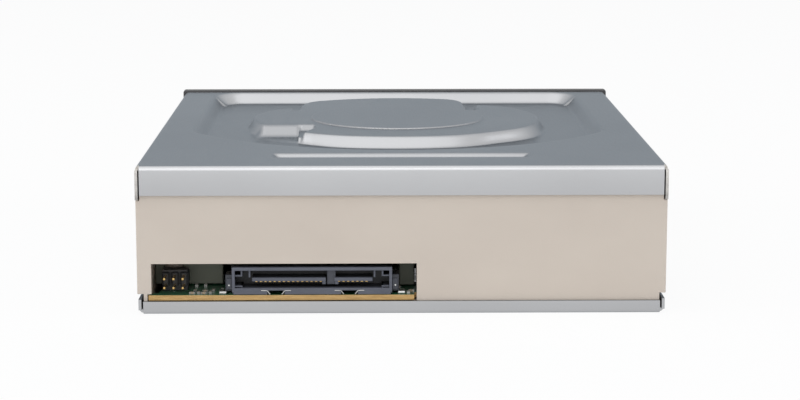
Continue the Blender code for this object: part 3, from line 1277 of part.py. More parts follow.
def build_cam_slider():
    """Sliding cam whose slanted slot lifts and lowers the front of the traverse."""
    lever = PIVOT_Y - (SLIDER_Y + SLIDER_THICKNESS / 2)
    drop = lever * math.sin(math.radians(TRAVERSE_DROP_DEG))
    reach = CAM_PIN_RADIUS + CAM_CLEARANCE
    slope = math.degrees(math.atan2(drop, SLIDER_TRAVEL))
    high = (CAM_PIN_X, CAM_PIN_Z)
    low = (CAM_PIN_X - SLIDER_TRAVEL, CAM_PIN_Z - drop)
    slot = arc(high, reach, slope - 90, slope + 90, SLOT_END_POINTS)
    slot += arc(low, reach, slope + 90, slope + 270, SLOT_END_POINTS)
    edge = [(SLIDER_RIGHT, SLIDER_BOTTOM), (SLIDER_LEFT, SLIDER_BOTTOM), (SLIDER_LEFT, SLIDER_TOP),
            (SLIDER_RIGHT, SLIDER_TOP)]
    slider = plate([edge, slot], SLIDER_Y - SLIDER_THICKNESS / 2, SLIDER_Y + SLIDER_THICKNESS / 2,
                   "cam_slider", True)
    return add_part(slider, "cam_slider", WHITE_PLASTIC)


def build_traverse(empty):
    """Moulded frame that pivots at its rear, with damper pins, trunnions and the cam pin."""
    rear = PIVOT_Y + TRAVERSE_RIM - 2 * GAP
    half = TRAVERSE_HALF_WIDTH
    frame = block((-half, TRAVERSE_FRONT_Y, TRAVERSE_BOTTOM), (half, rear, TRAVERSE_TOP),
                  "traverse_frame")
    edge = frame.modifiers.new("Edge", 'BEVEL')
    edge.width = TRAVERSE_RIM / 2
    edge.segments = 1
    edge.limit_method = 'NONE'
    edge.affect = 'EDGES'
    inside_low = (-half + TRAVERSE_RIM, TRAVERSE_FRONT_Y + TRAVERSE_RIM, TRAVERSE_BOTTOM - SHEET)
    inside_high = (half - TRAVERSE_RIM, PLATE_REAR_Y + 2 * GAP, TRAVERSE_TOP + SHEET)
    cut(frame, [block(inside_low, inside_high)])
    added = []
    pad_top = PLATE_BOTTOM - DAMPER_FLANGE - 2 * GAP
    for x, y in damper_places():
        reach = math.copysign(half - TRAVERSE_RIM / 2, x)
        side = sorted((x - math.copysign(DAMPER_RADIUS, x), reach))
        added.append(block((side[0], y - DAMPER_RADIUS, TRAVERSE_BOTTOM + GAP),
                           (side[1], y + DAMPER_RADIUS, pad_top)))
        added.append(rod((x, y, pad_top - SHEET), (x, y, TRAVERSE_TOP), DAMPER_PIN_RADIUS, HOLE_SEGMENTS))
    for side in (-1, 1):
        added.append(rod((side * (half - SHEET), PIVOT_Y, PIVOT_Z),
                         (side * (WELL_HALF_WIDTH + BRACKET_WIDTH), PIVOT_Y, PIVOT_Z), PIVOT_RADIUS,
                         SMALL_SEGMENTS))
    added.append(rod((CAM_PIN_X, TRAVERSE_FRONT_Y + SHEET, CAM_PIN_Z),
                     (CAM_PIN_X, SLIDER_Y - SLIDER_THICKNESS / 2, CAM_PIN_Z), CAM_PIN_RADIUS,
                     SMALL_SEGMENTS))
    join(frame, added)
    return add_part(frame, "traverse_frame", GREY_PLASTIC, empty)


def damper_places():
    """Places of the four rubber dampers."""
    return [(x, y) for y in (DAMPER_FRONT_Y, DAMPER_REAR_Y) for x in (-DAMPER_X, DAMPER_X)]


def build_dampers(empty):
    """Grooved rubber bushes that carry the mechanism plate on the traverse's pins."""
    low = PLATE_BOTTOM - DAMPER_FLANGE - GAP
    groove_low = PLATE_BOTTOM - GAP
    groove_high = PLATE_BOTTOM + PLATE_THICKNESS + GAP
    high = groove_high + DAMPER_FLANGE
    bore = DAMPER_PIN_RADIUS + GAP
    profile = [(bore, high), (DAMPER_RADIUS, high), (DAMPER_RADIUS, groove_high),
               (DAMPER_NECK, groove_high),
               (DAMPER_NECK, groove_low), (DAMPER_RADIUS, groove_low), (DAMPER_RADIUS, low), (bore, low),
               (bore, high)]
    for number, (x, y) in enumerate(damper_places(), 1):
        add_part(turned("damper", profile, HOLE_SEGMENTS, (x, y, 0.0)), "damper_" + str(number), RUBBER,
                 empty)


def build_mechanism_plate(empty):
    """Steel plate with the pickup's opening, the motor notch, and saddles for the rods and screw."""
    half = PLATE_HALF_WIDTH
    opening_right = LEAD_SCREW_X - LEAD_SCREW_RADIUS - GAP
    notch = (LEAD_SCREW_X - FEED_MOTOR_RADIUS - SHEET / 2, LEAD_SCREW_X + FEED_MOTOR_RADIUS + SHEET / 2)
    motor_front = feed_motor_front() - SHEET / 2
    edge = [(half, PLATE_FRONT_Y), (half, PLATE_REAR_Y), (-half, PLATE_REAR_Y), (-half, PLATE_FRONT_Y)]
    opening = [(OPENING_LEFT, OPENING_FRONT_Y), (OPENING_LEFT, OPENING_REAR_Y),
               (opening_right, OPENING_REAR_Y),
               (opening_right, OPENING_FRONT_Y), (notch[0], OPENING_FRONT_Y), (notch[0], motor_front),
               (notch[1], motor_front), (notch[1], OPENING_FRONT_Y)]
    holes = [opening, circle((0.0, SPINDLE_Y), SPINDLE_BOSS_RADIUS + GAP, SMALL_SEGMENTS)]
    for place in damper_places():
        holes.append(circle(place, DAMPER_NECK + GAP, HOLE_SEGMENTS))
    top = PLATE_BOTTOM + PLATE_THICKNESS
    made = plate([edge] + holes, PLATE_BOTTOM, top, "mechanism_plate")
    bite = PLATE_THICKNESS / 2
    saddles = []
    for x in (-ROD_X, ROD_X):
        for y in (ROD_FRONT_Y, ROD_REAR_Y - SADDLE_LENGTH):
            saddles.append(block((x - SADDLE_HALF, y - SADDLE_OVERLAP, PLATE_BOTTOM + bite),
                                 (x + SADDLE_HALF, y + SADDLE_LENGTH - SADDLE_OVERLAP,
                                  ROD_Z + SADDLE_HALF)))
    rear_low = (LEAD_SCREW_X - SADDLE_HALF, OPENING_REAR_Y + GAP, PLATE_BOTTOM + GAP)
    saddles.append(block(rear_low,
                         (LEAD_SCREW_X + SADDLE_HALF, PLATE_REAR_Y - GAP, LEAD_SCREW_Z + SADDLE_HALF)))
    join(made, saddles)
    bores = [rod((x, ROD_FRONT_Y - GAP, ROD_Z), (x, ROD_REAR_Y + GAP, ROD_Z), ROD_RADIUS + GAP,
                 HOLE_SEGMENTS) for x in (-ROD_X, ROD_X)]
    bores.append(rod((LEAD_SCREW_X, OPENING_REAR_Y - SADDLE_LENGTH, LEAD_SCREW_Z),
                     (LEAD_SCREW_X, LEAD_SCREW_END_Y + GAP, LEAD_SCREW_Z), LEAD_SCREW_RADIUS + GAP,
                     HOLE_SEGMENTS))
    cut(made, bores)
    return add_part(made, "mechanism_plate", ZINC_STEEL, empty)


def feed_motor_front():
    """Front face of the feed motor, whose screw starts at the front of the pickup's travel."""
    return ROD_FRONT_Y - GAP - FEED_MOTOR_LENGTH


def build_rods_and_feed(empty):
    """Two guide rods, the feed motor and its lead screw."""
    for name, x in (("guide_rod_left", ROD_X), ("guide_rod_right", -ROD_X)):
        made = rod((x, ROD_FRONT_Y, ROD_Z), (x, ROD_REAR_Y, ROD_Z), ROD_RADIUS, HOLE_SEGMENTS)
        add_part(made, name, BRIGHT_STEEL, empty)
    front = feed_motor_front()
    rear = front + FEED_MOTOR_LENGTH
    motor = rod((LEAD_SCREW_X, front, LEAD_SCREW_Z), (LEAD_SCREW_X, rear, LEAD_SCREW_Z),
                FEED_MOTOR_RADIUS, ROUND_SEGMENTS, "feed_motor")
    nose = rod((LEAD_SCREW_X, rear - SHEET, LEAD_SCREW_Z), (LEAD_SCREW_X, rear + SHEET, LEAD_SCREW_Z),
               FEED_MOTOR_RADIUS / 2, SMALL_SEGMENTS)
    join(motor, [nose])
    add_part(motor, "feed_motor", BRIGHT_STEEL, empty)
    screw_axis = pivot("lead_screw_axis", (LEAD_SCREW_X, rear, LEAD_SCREW_Z))
    screw = rod((LEAD_SCREW_X, rear + SHEET + GAP, LEAD_SCREW_Z),
                (LEAD_SCREW_X, LEAD_SCREW_END_Y, LEAD_SCREW_Z), LEAD_SCREW_RADIUS, HOLE_SEGMENTS)
    add_part(screw, "lead_screw", BRIGHT_STEEL, screw_axis)


def build_spindle(empty):
    """Spindle motor's base with its core, the rotor bell over it, and the turntable with its hub."""
    seat = PLATE_BOTTOM + PLATE_THICKNESS + GAP
    bell_top = TURNTABLE_BOTTOM - GAP
    core_radius = ROTOR_RADIUS - 3 * SHEET
    core_top = bell_top - SHEET - 2 * GAP
    neck = 2 * SHEET
    bore = neck + 2 * GAP
    bore_low = ROTOR_BOTTOM - 3 * SHEET
    profile = [(0.0, bore_low), (bore, bore_low), (bore, core_top), (core_radius, core_top),
               (core_radius, ROTOR_BOTTOM - 2 * GAP), (ROTOR_RADIUS, ROTOR_BOTTOM - 2 * GAP),
               (ROTOR_RADIUS, seat),
               (SPINDLE_BOSS_RADIUS, seat), (SPINDLE_BOSS_RADIUS, PLATE_BOTTOM - SHEET),
               (0.0, PLATE_BOTTOM - SHEET)]
    base = turned("spindle_motor", profile, ROUND_SEGMENTS, (0.0, SPINDLE_Y, 0.0))
    add_part(base, "spindle_motor", GREY_PLASTIC, empty)
    axis = pivot("turntable_axis", (0.0, SPINDLE_Y, 0.0))
    bell_inner = ROTOR_RADIUS - SHEET
    profile = [(0.0, bell_top), (ROTOR_RADIUS, bell_top), (ROTOR_RADIUS, ROTOR_BOTTOM),
               (bell_inner, ROTOR_BOTTOM),
               (bell_inner, bell_top - SHEET), (neck, bell_top - SHEET), (neck, ROTOR_BOTTOM - 2 * SHEET),
               (0.0, ROTOR_BOTTOM - 2 * SHEET)]
    add_part(turned("motor_rotor", profile, ROUND_SEGMENTS, (0.0, SPINDLE_Y, 0.0)), "motor_rotor",
             BRIGHT_STEEL, axis)
    chamfer = SHEET
    profile = [(0.0, HUB_TOP), (HUB_RADIUS - chamfer, HUB_TOP), (HUB_RADIUS, HUB_TOP - chamfer),
               (HUB_RADIUS, TURNTABLE_TOP), (TURNTABLE_RADIUS, TURNTABLE_TOP),
               (TURNTABLE_RADIUS, TURNTABLE_BOTTOM),
               (0.0, TURNTABLE_BOTTOM)]
    add_part(turned("turntable", profile, ROUND_SEGMENTS, (0.0, SPINDLE_Y, 0.0)), "turntable",
             GREY_PLASTIC, axis)


def build_pickup(empty):
    """Pickup body on its rods, with the lens holder and the lens."""
    rear = PICKUP_FRONT_Y + PICKUP_LENGTH
    body_half = ROD_X - 2 * ROD_RADIUS - SHEET
    body = block((-body_half, PICKUP_FRONT_Y, PICKUP_BOTTOM), (body_half, rear, PICKUP_TOP),
                 "pickup_body")
    edge = body.modifiers.new("Edge", 'BEVEL')
    edge.width = 2 * SHEET
    edge.segments = 1
    bush = ROD_RADIUS + GAP + SHEET
    arm_low = ROD_Z - bush
    added = [rod((ROD_X, PICKUP_FRONT_Y, ROD_Z), (ROD_X, rear, ROD_Z), bush, SMALL_SEGMENTS),
             block((body_half - bush, PICKUP_FRONT_Y + bush, arm_low + GAP), (ROD_X, rear - bush, ROD_Z)),
             block((-ROD_X - bush, PICKUP_FRONT_Y + bush, arm_low + GAP),
                   (-body_half + bush, rear - bush, PICKUP_TOP - GAP))]
    arm_y = PICKUP_FRONT_Y + PICKUP_LENGTH / 2
    arm_z = LEAD_SCREW_Z + LEAD_SCREW_RADIUS + GAP
    added.append(block((LEAD_SCREW_X - LEAD_SCREW_RADIUS, arm_y - FOLLOWER_HALF, arm_z),
                       (-ROD_X - bush + SHEET, arm_y + FOLLOWER_HALF, PICKUP_TOP - 2 * GAP)))
    join(body, added)
    slot = ROD_RADIUS + GAP
    cut(body, [rod((ROD_X, PICKUP_FRONT_Y - SHEET, ROD_Z), (ROD_X, rear + SHEET, ROD_Z), slot,
                   HOLE_SEGMENTS),
               rod((-ROD_X, PICKUP_FRONT_Y - SHEET, ROD_Z), (-ROD_X, rear + SHEET, ROD_Z), slot,
                   HOLE_SEGMENTS),
               block((-ROD_X - 2 * bush, PICKUP_FRONT_Y - SHEET, arm_low - SHEET),
                     (-ROD_X + slot, rear + SHEET, ROD_Z))])
    add_part(body, "pickup_body", DARK_STEEL, empty)
    holder = block((-HOLDER_HALF, LENS_Y - HOLDER_DEPTH_HALF, PICKUP_TOP + GAP),
                   (HOLDER_HALF, LENS_Y + HOLDER_DEPTH_HALF, LENS_TOP - SHEET), "lens_holder")
    edge = holder.modifiers.new("Edge", 'BEVEL')
    edge.width = SHEET
    edge.segments = 1
    seat = PICKUP_TOP + 3 * GAP
    cut(holder, [rod((0.0, LENS_Y, seat), (0.0, LENS_Y, LENS_TOP), LENS_RADIUS + GAP, SMALL_SEGMENTS)])
    add_part(holder, "lens_holder", CHIP_BLACK, empty)
    profile = [(0.0, LENS_TOP), (LENS_RADIUS / 2, LENS_TOP - GAP),
               (LENS_EDGE_RADIUS, LENS_TOP - 3 * GAP),
               (LENS_RADIUS, LENS_TOP - 4 * GAP), (LENS_RADIUS, seat + GAP), (0.0, seat + GAP)]
    add_part(turned("objective_lens", profile, SMALL_SEGMENTS, (0.0, LENS_Y, 0.0)), "objective_lens",
             LENS_GLASS, empty)


def build_clamp():
    """Bridge across the frame with the clamper hanging in its hole."""
    half = frame_half() - FRAME_WALL - 2 * GAP
    top = BRIDGE_BOTTOM + BRIDGE_THICKNESS
    centre = (0.0, SPINDLE_Y)
    edge = [(half, BRIDGE_FRONT_Y), (half, BRIDGE_REAR_Y), (-half, BRIDGE_REAR_Y),
            (-half, BRIDGE_FRONT_Y)]
    holes = [circle(centre, BRIDGE_HOLE_RADIUS, ROUND_SEGMENTS)]
    for side in (-1, 1):
        near, far = side * BRIDGE_WINDOW[0], side * BRIDGE_WINDOW[1]
        low, high = BRIDGE_FRONT_Y + BRIDGE_MARGIN, BRIDGE_REAR_Y - BRIDGE_MARGIN
        holes.append([(near, low), (far, low), (far, high), (near, high)])
    bridge = plate([edge] + holes, BRIDGE_BOTTOM, top, "clamp_bridge")
    ribs = [block((-half, y, top - GAP), (half, y + BRIDGE_THICKNESS, top + BRIDGE_THICKNESS))
            for y in (BRIDGE_FRONT_Y, BRIDGE_REAR_Y - BRIDGE_THICKNESS)]
    collar = ring_solid(top - GAP, top + BRIDGE_THICKNESS, CLAMPER_FLANGE_RADIUS + 2 * SHEET,
                        CLAMPER_FLANGE_RADIUS + 4 * SHEET)
    collar.location.y = SPINDLE_Y
    join(bridge, ribs + [collar])
    add_part(bridge, "clamp_bridge", GREY_PLASTIC)
    axis = pivot("clamper_axis", (0.0, SPINDLE_Y, 0.0))
    recess_top = HUB_TOP + 2 * GAP
    recess = HUB_RADIUS + SHEET
    neck_top = top + GAP
    profile = [(0.0, neck_top), (CLAMPER_NECK_RADIUS, neck_top),
               (CLAMPER_NECK_RADIUS, CLAMPER_BOTTOM + 2 * SHEET),
               (CLAMPER_RADIUS, CLAMPER_BOTTOM + SHEET), (CLAMPER_RADIUS, CLAMPER_BOTTOM),
               (recess, CLAMPER_BOTTOM),
               (recess, recess_top), (0.0, recess_top)]
    add_part(turned("clamper", profile, ROUND_SEGMENTS, (0.0, SPINDLE_Y, 0.0)), "clamper", BLACK_PLASTIC,
             axis)
    low = neck_top + GAP
    profile = [(0.0, low + 2 * SHEET), (CLAMPER_NECK_RADIUS / 2, low + 2 * SHEET),
               (CLAMPER_NECK_RADIUS / 2, low + SHEET),
               (CLAMPER_FLANGE_RADIUS, low + SHEET), (CLAMPER_FLANGE_RADIUS, low), (0.0, low)]
    add_part(turned("clamp_plate", profile, ROUND_SEGMENTS, (0.0, SPINDLE_Y, 0.0)), "clamp_plate",
             ZINC_STEEL, axis)


def build_drive():
    """Every piece of the drive, from the covers inward."""
    build_top_cover()
    build_bottom_cover()
    build_cover_screws()
    build_main_frame()
    build_main_board()
    build_sata_connector()
    build_jumper_header()
    build_board_pieces()
    build_front_bezel()
    build_front_board()
    build_eject_button()
    tray_start = pivot("tray_slide_axis", (0.0, FRONT, TRAY_BOTTOM))
    build_tray(tray_start)
    build_tray_door(tray_start)
    build_loading_gears()
    build_cam_slider()
    tilt = pivot("traverse_tilt_axis", (0.0, PIVOT_Y, PIVOT_Z))
    build_traverse(tilt)
    build_dampers(tilt)
    build_mechanism_plate(tilt)
    build_rods_and_feed(tilt)
    build_spindle(tilt)
    build_pickup(pivot("pickup_slide_axis", (0.0, LENS_Y, ROD_Z)))
    build_clamp()


build_drive()
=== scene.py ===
import math

import bmesh
import bpy
from mathutils import Matrix, Vector


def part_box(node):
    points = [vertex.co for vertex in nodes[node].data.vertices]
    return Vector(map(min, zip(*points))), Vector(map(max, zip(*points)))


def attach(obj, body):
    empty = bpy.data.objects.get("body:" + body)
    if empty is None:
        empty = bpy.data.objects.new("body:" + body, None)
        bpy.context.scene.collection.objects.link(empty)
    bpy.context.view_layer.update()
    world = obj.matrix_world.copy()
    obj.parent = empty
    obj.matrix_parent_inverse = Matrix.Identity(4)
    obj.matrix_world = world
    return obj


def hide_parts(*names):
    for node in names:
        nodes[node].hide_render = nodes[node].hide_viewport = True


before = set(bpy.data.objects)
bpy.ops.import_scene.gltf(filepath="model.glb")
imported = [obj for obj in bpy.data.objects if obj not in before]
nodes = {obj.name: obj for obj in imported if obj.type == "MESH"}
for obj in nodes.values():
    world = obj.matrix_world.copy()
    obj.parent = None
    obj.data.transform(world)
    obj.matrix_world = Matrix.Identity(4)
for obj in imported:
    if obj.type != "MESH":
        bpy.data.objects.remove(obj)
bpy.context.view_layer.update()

# Studio.  A pale floor under a white surround, one soft box over the drive, one behind the
# camera and a weaker one at each side.  Camera, mirrors and glass see the surround, and by nine
# tenths the floor, as plain white; a dimmer surround lights the drive, which keeps its shadow.
bpy.context.scene.view_settings.view_transform = 'Standard'


def worked_out(tree, operation, first, second=None):
    """A math node's result, from a socket and, where given, another socket or a plain value."""
    step = tree.nodes.new('ShaderNodeMath')
    step.operation = operation
    tree.links.new(first, step.inputs[0])
    if isinstance(second, float):
        step.inputs[1].default_value = second
    elif second is not None:
        tree.links.new(second, step.inputs[1])
    return step.outputs[0]


def plain(tree, kind, colour, strength=None):
    """A background, emission or diffuse node of one colour."""
    node = tree.nodes.new(kind)
    node.inputs['Color'].default_value = (*colour, 1.0)
    if strength is not None:
        node.inputs['Strength'].default_value = strength
    return node


def two_looks(tree, output, lighting, shown, share):
    """Gives a tree one look that lights and another that camera, mirrors and glass see by a share."""
    path = tree.nodes.new('ShaderNodeLightPath')
    looking = worked_out(tree, 'MAXIMUM', path.outputs['Is Camera Ray'], path.outputs['Is Glossy Ray'])
    looking = worked_out(tree, 'MAXIMUM', looking, path.outputs['Is Transmission Ray'])
    mix = tree.nodes.new('ShaderNodeMixShader')
    tree.links.new(worked_out(tree, 'MULTIPLY', looking, share), mix.inputs[0])
    tree.links.new(lighting.outputs[0], mix.inputs[1])
    tree.links.new(shown.outputs[0], mix.inputs[2])
    tree.links.new(mix.outputs[0], tree.nodes.new(output).inputs['Surface'])


world = bpy.data.worlds.new("studio_air")
bpy.context.scene.world = world
world.use_nodes = True
tree = world.node_tree
tree.nodes.clear()
lit = plain(tree, 'ShaderNodeBackground', (0.93, 0.96, 1.0), 0.45)
seen = plain(tree, 'ShaderNodeBackground', (1.0, 1.0, 1.0), 1.0)
two_looks(tree, 'ShaderNodeOutputWorld', lit, seen, 1.0)

floor_paint = bpy.data.materials.new("floor_paint")
floor_paint.use_nodes = True
tree = floor_paint.node_tree
tree.nodes.clear()
matt = plain(tree, 'ShaderNodeBsdfDiffuse', (0.94, 0.94, 0.94))
glow = plain(tree, 'ShaderNodeEmission', (1.0, 1.0, 1.0), 1.0)
two_looks(tree, 'ShaderNodeOutputMaterial', matt, glow, 0.91)


def object_of(bm, name, *materials):
    """A new object in the scene, made of a bmesh, which ends there."""
    mesh = bpy.data.meshes.new(name)
    bm.to_mesh(mesh)
    bm.free()
    for material in materials:
        mesh.materials.append(material)
    made = bpy.data.objects.new(name, mesh)
    bpy.context.scene.collection.objects.link(made)
    return made


floor_half = 6.0
bm = bmesh.new()
bmesh.ops.create_grid(bm, x_segments=1, y_segments=1, size=floor_half)
object_of(bm, "studio_floor", floor_paint)


def soft_box(name, place, target, width, height, watts, colour):
    """A rectangular lamp that faces the target."""
    lamp = bpy.data.lights.new(name, 'AREA')
    lamp.shape = 'RECTANGLE'
    lamp.size = width
    lamp.size_y = height
    lamp.energy = watts
    lamp.color = colour
    box = bpy.data.objects.new(name, lamp)
    box.location = place
    box.rotation_euler = (Vector(target) - Vector(place)).to_track_quat('-Z', 'Y').to_euler()
    bpy.context.scene.collection.objects.link(box)


soft_box("top_box", (0.25, 0.25, 1.30), (0.0, 0.0, 0.02), 2.2, 1.9, 6.9, (1.0, 1.0, 1.0))
soft_box("camera_box", (0.25, 1.60, 0.90), (0.0, 0.0, 0.03), 2.8, 1.6, 13.0, (1.0, 0.99, 0.98))
soft_box("left_box", (1.5, 0.2, 0.6), (0.0, 0.0, 0.02), 0.8, 0.8, 5.0, (0.97, 0.98, 1.0))
soft_box("right_box", (-1.5, 0.2, 0.6), (0.0, 0.0, 0.02), 0.8, 0.8, 5.0, (0.97, 0.98, 1.0))

# Camera.  It looks down a little at the drive's rear from two thirds of a metre away.
pitch = math.radians(9.944)
yaw = math.radians(0.804)
lens = bpy.data.cameras.new("view_camera")
lens.sensor_width = 36.0
lens.lens = 95.74
lens.clip_start = 0.01
view_camera = bpy.data.objects.new("view_camera", lens)
view_camera.location = (0.0086, 0.6581, 0.1324)
forward = Vector((-math.sin(yaw) * math.cos(pitch), -math.cos(yaw) * math.cos(pitch), -math.sin(pitch)))
view_camera.rotation_euler = forward.to_track_quat('-Z', 'Y').to_euler()
bpy.context.scene.collection.objects.link(view_camera)
bpy.context.scene.camera = view_camera

# Main frame.  It is moulded in beige plastic: a rear wall with the connector's window, a deck,
# side walls, ledges for the tray and posts.  The tool left a fine spark-eroded texture on it.


def surface(name, colour, metallic, roughness):
    """A new material with a Principled shader; returns material, node tree and shader."""
    made = bpy.data.materials.new(name)
    made.use_nodes = True
    shader = made.node_tree.nodes["Principled BSDF"]
    shader.inputs['Base Color'].default_value = (*colour, 1.0)
    shader.inputs['Metallic'].default_value = metallic
    shader.inputs['Roughness'].default_value = roughness
    return made, made.node_tree, shader


def feed(shader, socket, source):
    """Links a value or a colour to one of a shader's sockets."""
    shader.id_data.links.new(source, shader.inputs[socket])


def noise_on(tree, scale, fineness, detail):
    """Noise in object coordinates; the fineness along each axis multiplies the scale there."""
    place = tree.nodes.new('ShaderNodeTexCoord')
    spread = tree.nodes.new('ShaderNodeMapping')
    spread.inputs['Scale'].default_value = fineness
    noise = tree.nodes.new('ShaderNodeTexNoise')
    noise.inputs['Scale'].default_value = scale
    noise.inputs['Detail'].default_value = detail
    tree.links.new(place.outputs['Object'], spread.inputs['Vector'])
    tree.links.new(spread.outputs['Vector'], noise.inputs['Vector'])
    return noise.outputs['Fac']


def ramp(tree, source, low, high, low_colour, high_colour):
    """Maps a noise value between two colours."""
    band = tree.nodes.new('ShaderNodeValToRGB')
    band.color_ramp.elements[0].position = low
    band.color_ramp.elements[0].color = (*low_colour, 1.0)
    band.color_ramp.elements[1].position = high
    band.color_ramp.elements[1].color = (*high_colour, 1.0)
    tree.links.new(source, band.inputs['Fac'])
    return band.outputs['Color']


def spread_value(tree, source, low, high):
    """Maps 0 to 1 onto a range of values."""
    span = tree.nodes.new('ShaderNodeMapRange')
    span.inputs['To Min'].default_value = low
    span.inputs['To Max'].default_value = high
    tree.links.new(source, span.inputs['Value'])
    return span.outputs['Result']


def relief(tree, source, distance, strength):
    """The normal of a bump from a value."""
    bump = tree.nodes.new('ShaderNodeBump')
    bump.inputs['Distance'].default_value = distance
    bump.inputs['Strength'].default_value = strength
    tree.links.new(source, bump.inputs['Height'])
    return bump.outputs['Normal']


def moulded(name, dark, light, gloss_low, gloss_high, grain_scale, grain_depth=0.00004):
    """Injection moulded plastic: slow flow clouds, a fine tool texture and uneven gloss."""
    made, tree, shader = surface(name, light, 0.0, gloss_high)
    cloud = noise_on(tree, 35.0, (1.0, 1.0, 1.6), 3.0)
    grain = noise_on(tree, grain_scale, (1.0, 1.0, 1.0), 2.0)
    feed(shader, 'Base Color', ramp(tree, cloud, 0.30, 0.72, dark, light))
    feed(shader, 'Roughness', spread_value(tree, cloud, gloss_low, gloss_high))
    feed(shader, 'Normal', relief(tree, grain, grain_depth, 0.5))
    return made


def dress(node, material):
    """Gives a CAD node that stays a better finish."""
    for place in nodes[node].material_slots:
        place.material = material


beige = moulded("beige_plastic", (0.585, 0.515, 0.448), (0.615, 0.545, 0.474), 0.46, 0.60, 2600.0)
dress("main_frame", beige)

# Loading motor.  A drawn steel can with rounded ends stands under the deck, and its shaft and
# boss come up through it.  The can is turned, so fine rings run round it.


def made_whole(bm):
    """Joins doubled points, and the triangles of each flat face."""
    bmesh.ops.remove_doubles(bm, verts=bm.verts, dist=1e-6)
    bmesh.ops.dissolve_limit(bm, angle_limit=math.radians(0.8), verts=bm.verts, edges=bm.edges)


def remade(node, name, material, rounding, sharp=32.0, body="chassis"):
    """A node's solid with its flat faces made whole and its edges broken as the real piece's are."""
    bm = bmesh.new()
    bm.from_mesh(nodes[node].data)
    made_whole(bm)
    finished(bm, name, material, rounding, sharp, node, body)


def finished(bm, name, material, rounding=0.0, sharp=32.0, node=None, body="chassis"):
    """Makes a piece of a bmesh, rounds its edges sharper than an angle, and sets it on its body."""
    limit = math.radians(sharp)
    for face in bm.faces:
        face.smooth = True
    for edge in bm.edges:
        edge.smooth = edge.calc_face_angle(0.0) < limit
    piece = object_of(bm, name, material)
    if rounding > 0.0:
        edge = piece.modifiers.new("Edge", 'BEVEL')
        edge.width = rounding
        edge.segments = 2
        edge.limit_method = 'ANGLE'
        edge.angle_limit = limit
        edge.harden_normals = True
    if node is not None:
        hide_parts(node)
    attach(piece, body)


def turned_metal(name, dark, light, rough_low, rough_high, fineness):
    """Turned or drawn metal: marks that are short where fine and long where coarse, and stains."""
    made, tree, shader = surface(name, light, 1.0, rough_high)
    rings = noise_on(tree, 420.0, fineness, 3.0)
    stain = noise_on(tree, 60.0, (1.0, 1.0, 1.0), 2.0)
    feed(shader, 'Base Color', ramp(tree, stain, 0.3, 0.7, dark, light))
    feed(shader, 'Roughness', spread_value(tree, rings, rough_low, rough_high))
    feed(shader, 'Normal', relief(tree, rings, 0.00002, 0.3))
    return made


drawn_can = turned_metal(
    "bright_steel_can", (0.50, 0.50, 0.50), (0.66, 0.66, 0.67), 0.18, 0.34, (0.1, 0.1, 6.0))
remade("loading_motor", "motor_can", drawn_can, 0.0004)

# Gear train.  White acetal gears turn on the frame's posts, and a ground rubber belt runs from
# the motor's small pulley to the large one.  The gears are a little waxy from the mould.
acetal = moulded("white_plastic", (0.70, 0.70, 0.655), (0.78, 0.78, 0.74), 0.28, 0.42, 1500.0, 0.00002)
for node, name in (("motor_pulley", "small_pulley"), ("pulley_gear", "large_pulley"),
                   ("tray_gear", "rack_gear")):
    remade(node, name, acetal, 0.00012, body=node)
belt_rubber = moulded(
    "rubber_belt", (0.014, 0.014, 0.014), (0.028, 0.027, 0.026), 0.62, 0.82, 3200.0, 0.00005)
remade("drive_belt", "belt", belt_rubber, 0.00018)

# Cam slider.  A thin moulded slide behind the loading gears; the traverse's pin runs in its
# slanted slot.
remade("cam_slider", "slide", acetal, 0.00018, body="cam_slider")

# Traverse.  A glass-filled plastic frame that tilts on two trunnions, with four soft rubber
# dampers on its pins that carry the steel mechanism plate.
filled_plastic = moulded(
    "grey_plastic", (0.045, 0.046, 0.050), (0.075, 0.076, 0.082), 0.42, 0.60, 1800.0, 0.00006)
remade("traverse_frame", "cradle", filled_plastic, 0.00020, body="traverse")
damper_rubber = moulded("rubber_damper", (0.022, 0.019, 0.018), (0.042, 0.037, 0.035), 0.60, 0.78, 2200.0)
for number in range(1, 5):
    piece = "cushion_ring_" + str(number)
    remade("damper_" + str(number), piece, damper_rubber, 0.00020, body="traverse")

# Mechanism plate and the covers' sheet.  It is zinc plated rolled strip with a passivated coat:
# a faint grain along the rolling direction, cloudy patches and uneven gloss.
zinc_steel, tree, shader = surface("zinc_steel", (0.46, 0.466, 0.478), 1.0, 0.34)
shader.inputs['Specular Tint'].default_value = (0.29, 0.335, 0.375, 1.0)
cloud = noise_on(tree, 14.0, (1.0, 1.0, 1.0), 3.0)
grain = noise_on(tree, 260.0, (8.0, 0.6, 8.0), 4.0)
feed(shader, 'Base Color', ramp(tree, cloud, 0.3, 0.75, (0.435, 0.44, 0.452), (0.48, 0.487, 0.50)))
feed(shader, 'Roughness', spread_value(tree, grain, 0.24, 0.40))
feed(shader, 'Normal', relief(tree, grain, 0.00003, 0.2))
remade("mechanism_plate", "steel_bed", zinc_steel, 0.00012, body="traverse")

# Spindle.  A brushless motor: a moulded base, a plated steel bell that spins with the black
# turntable, a rubber seat for the disc, and a plain steel cap on the hub.
remade("spindle_motor", "motor_base", filled_plastic, 0.00015, body="traverse")
bell_steel = turned_metal(
    "bright_steel_bell", (0.60, 0.60, 0.61), (0.72, 0.72, 0.73), 0.12, 0.26, (0.1, 0.1, 6.0))
remade("motor_rotor", "bell", bell_steel, 0.00020, body="turntable")
remade("turntable", "disc_seat", filled_plastic, 0.00025, body="turntable")


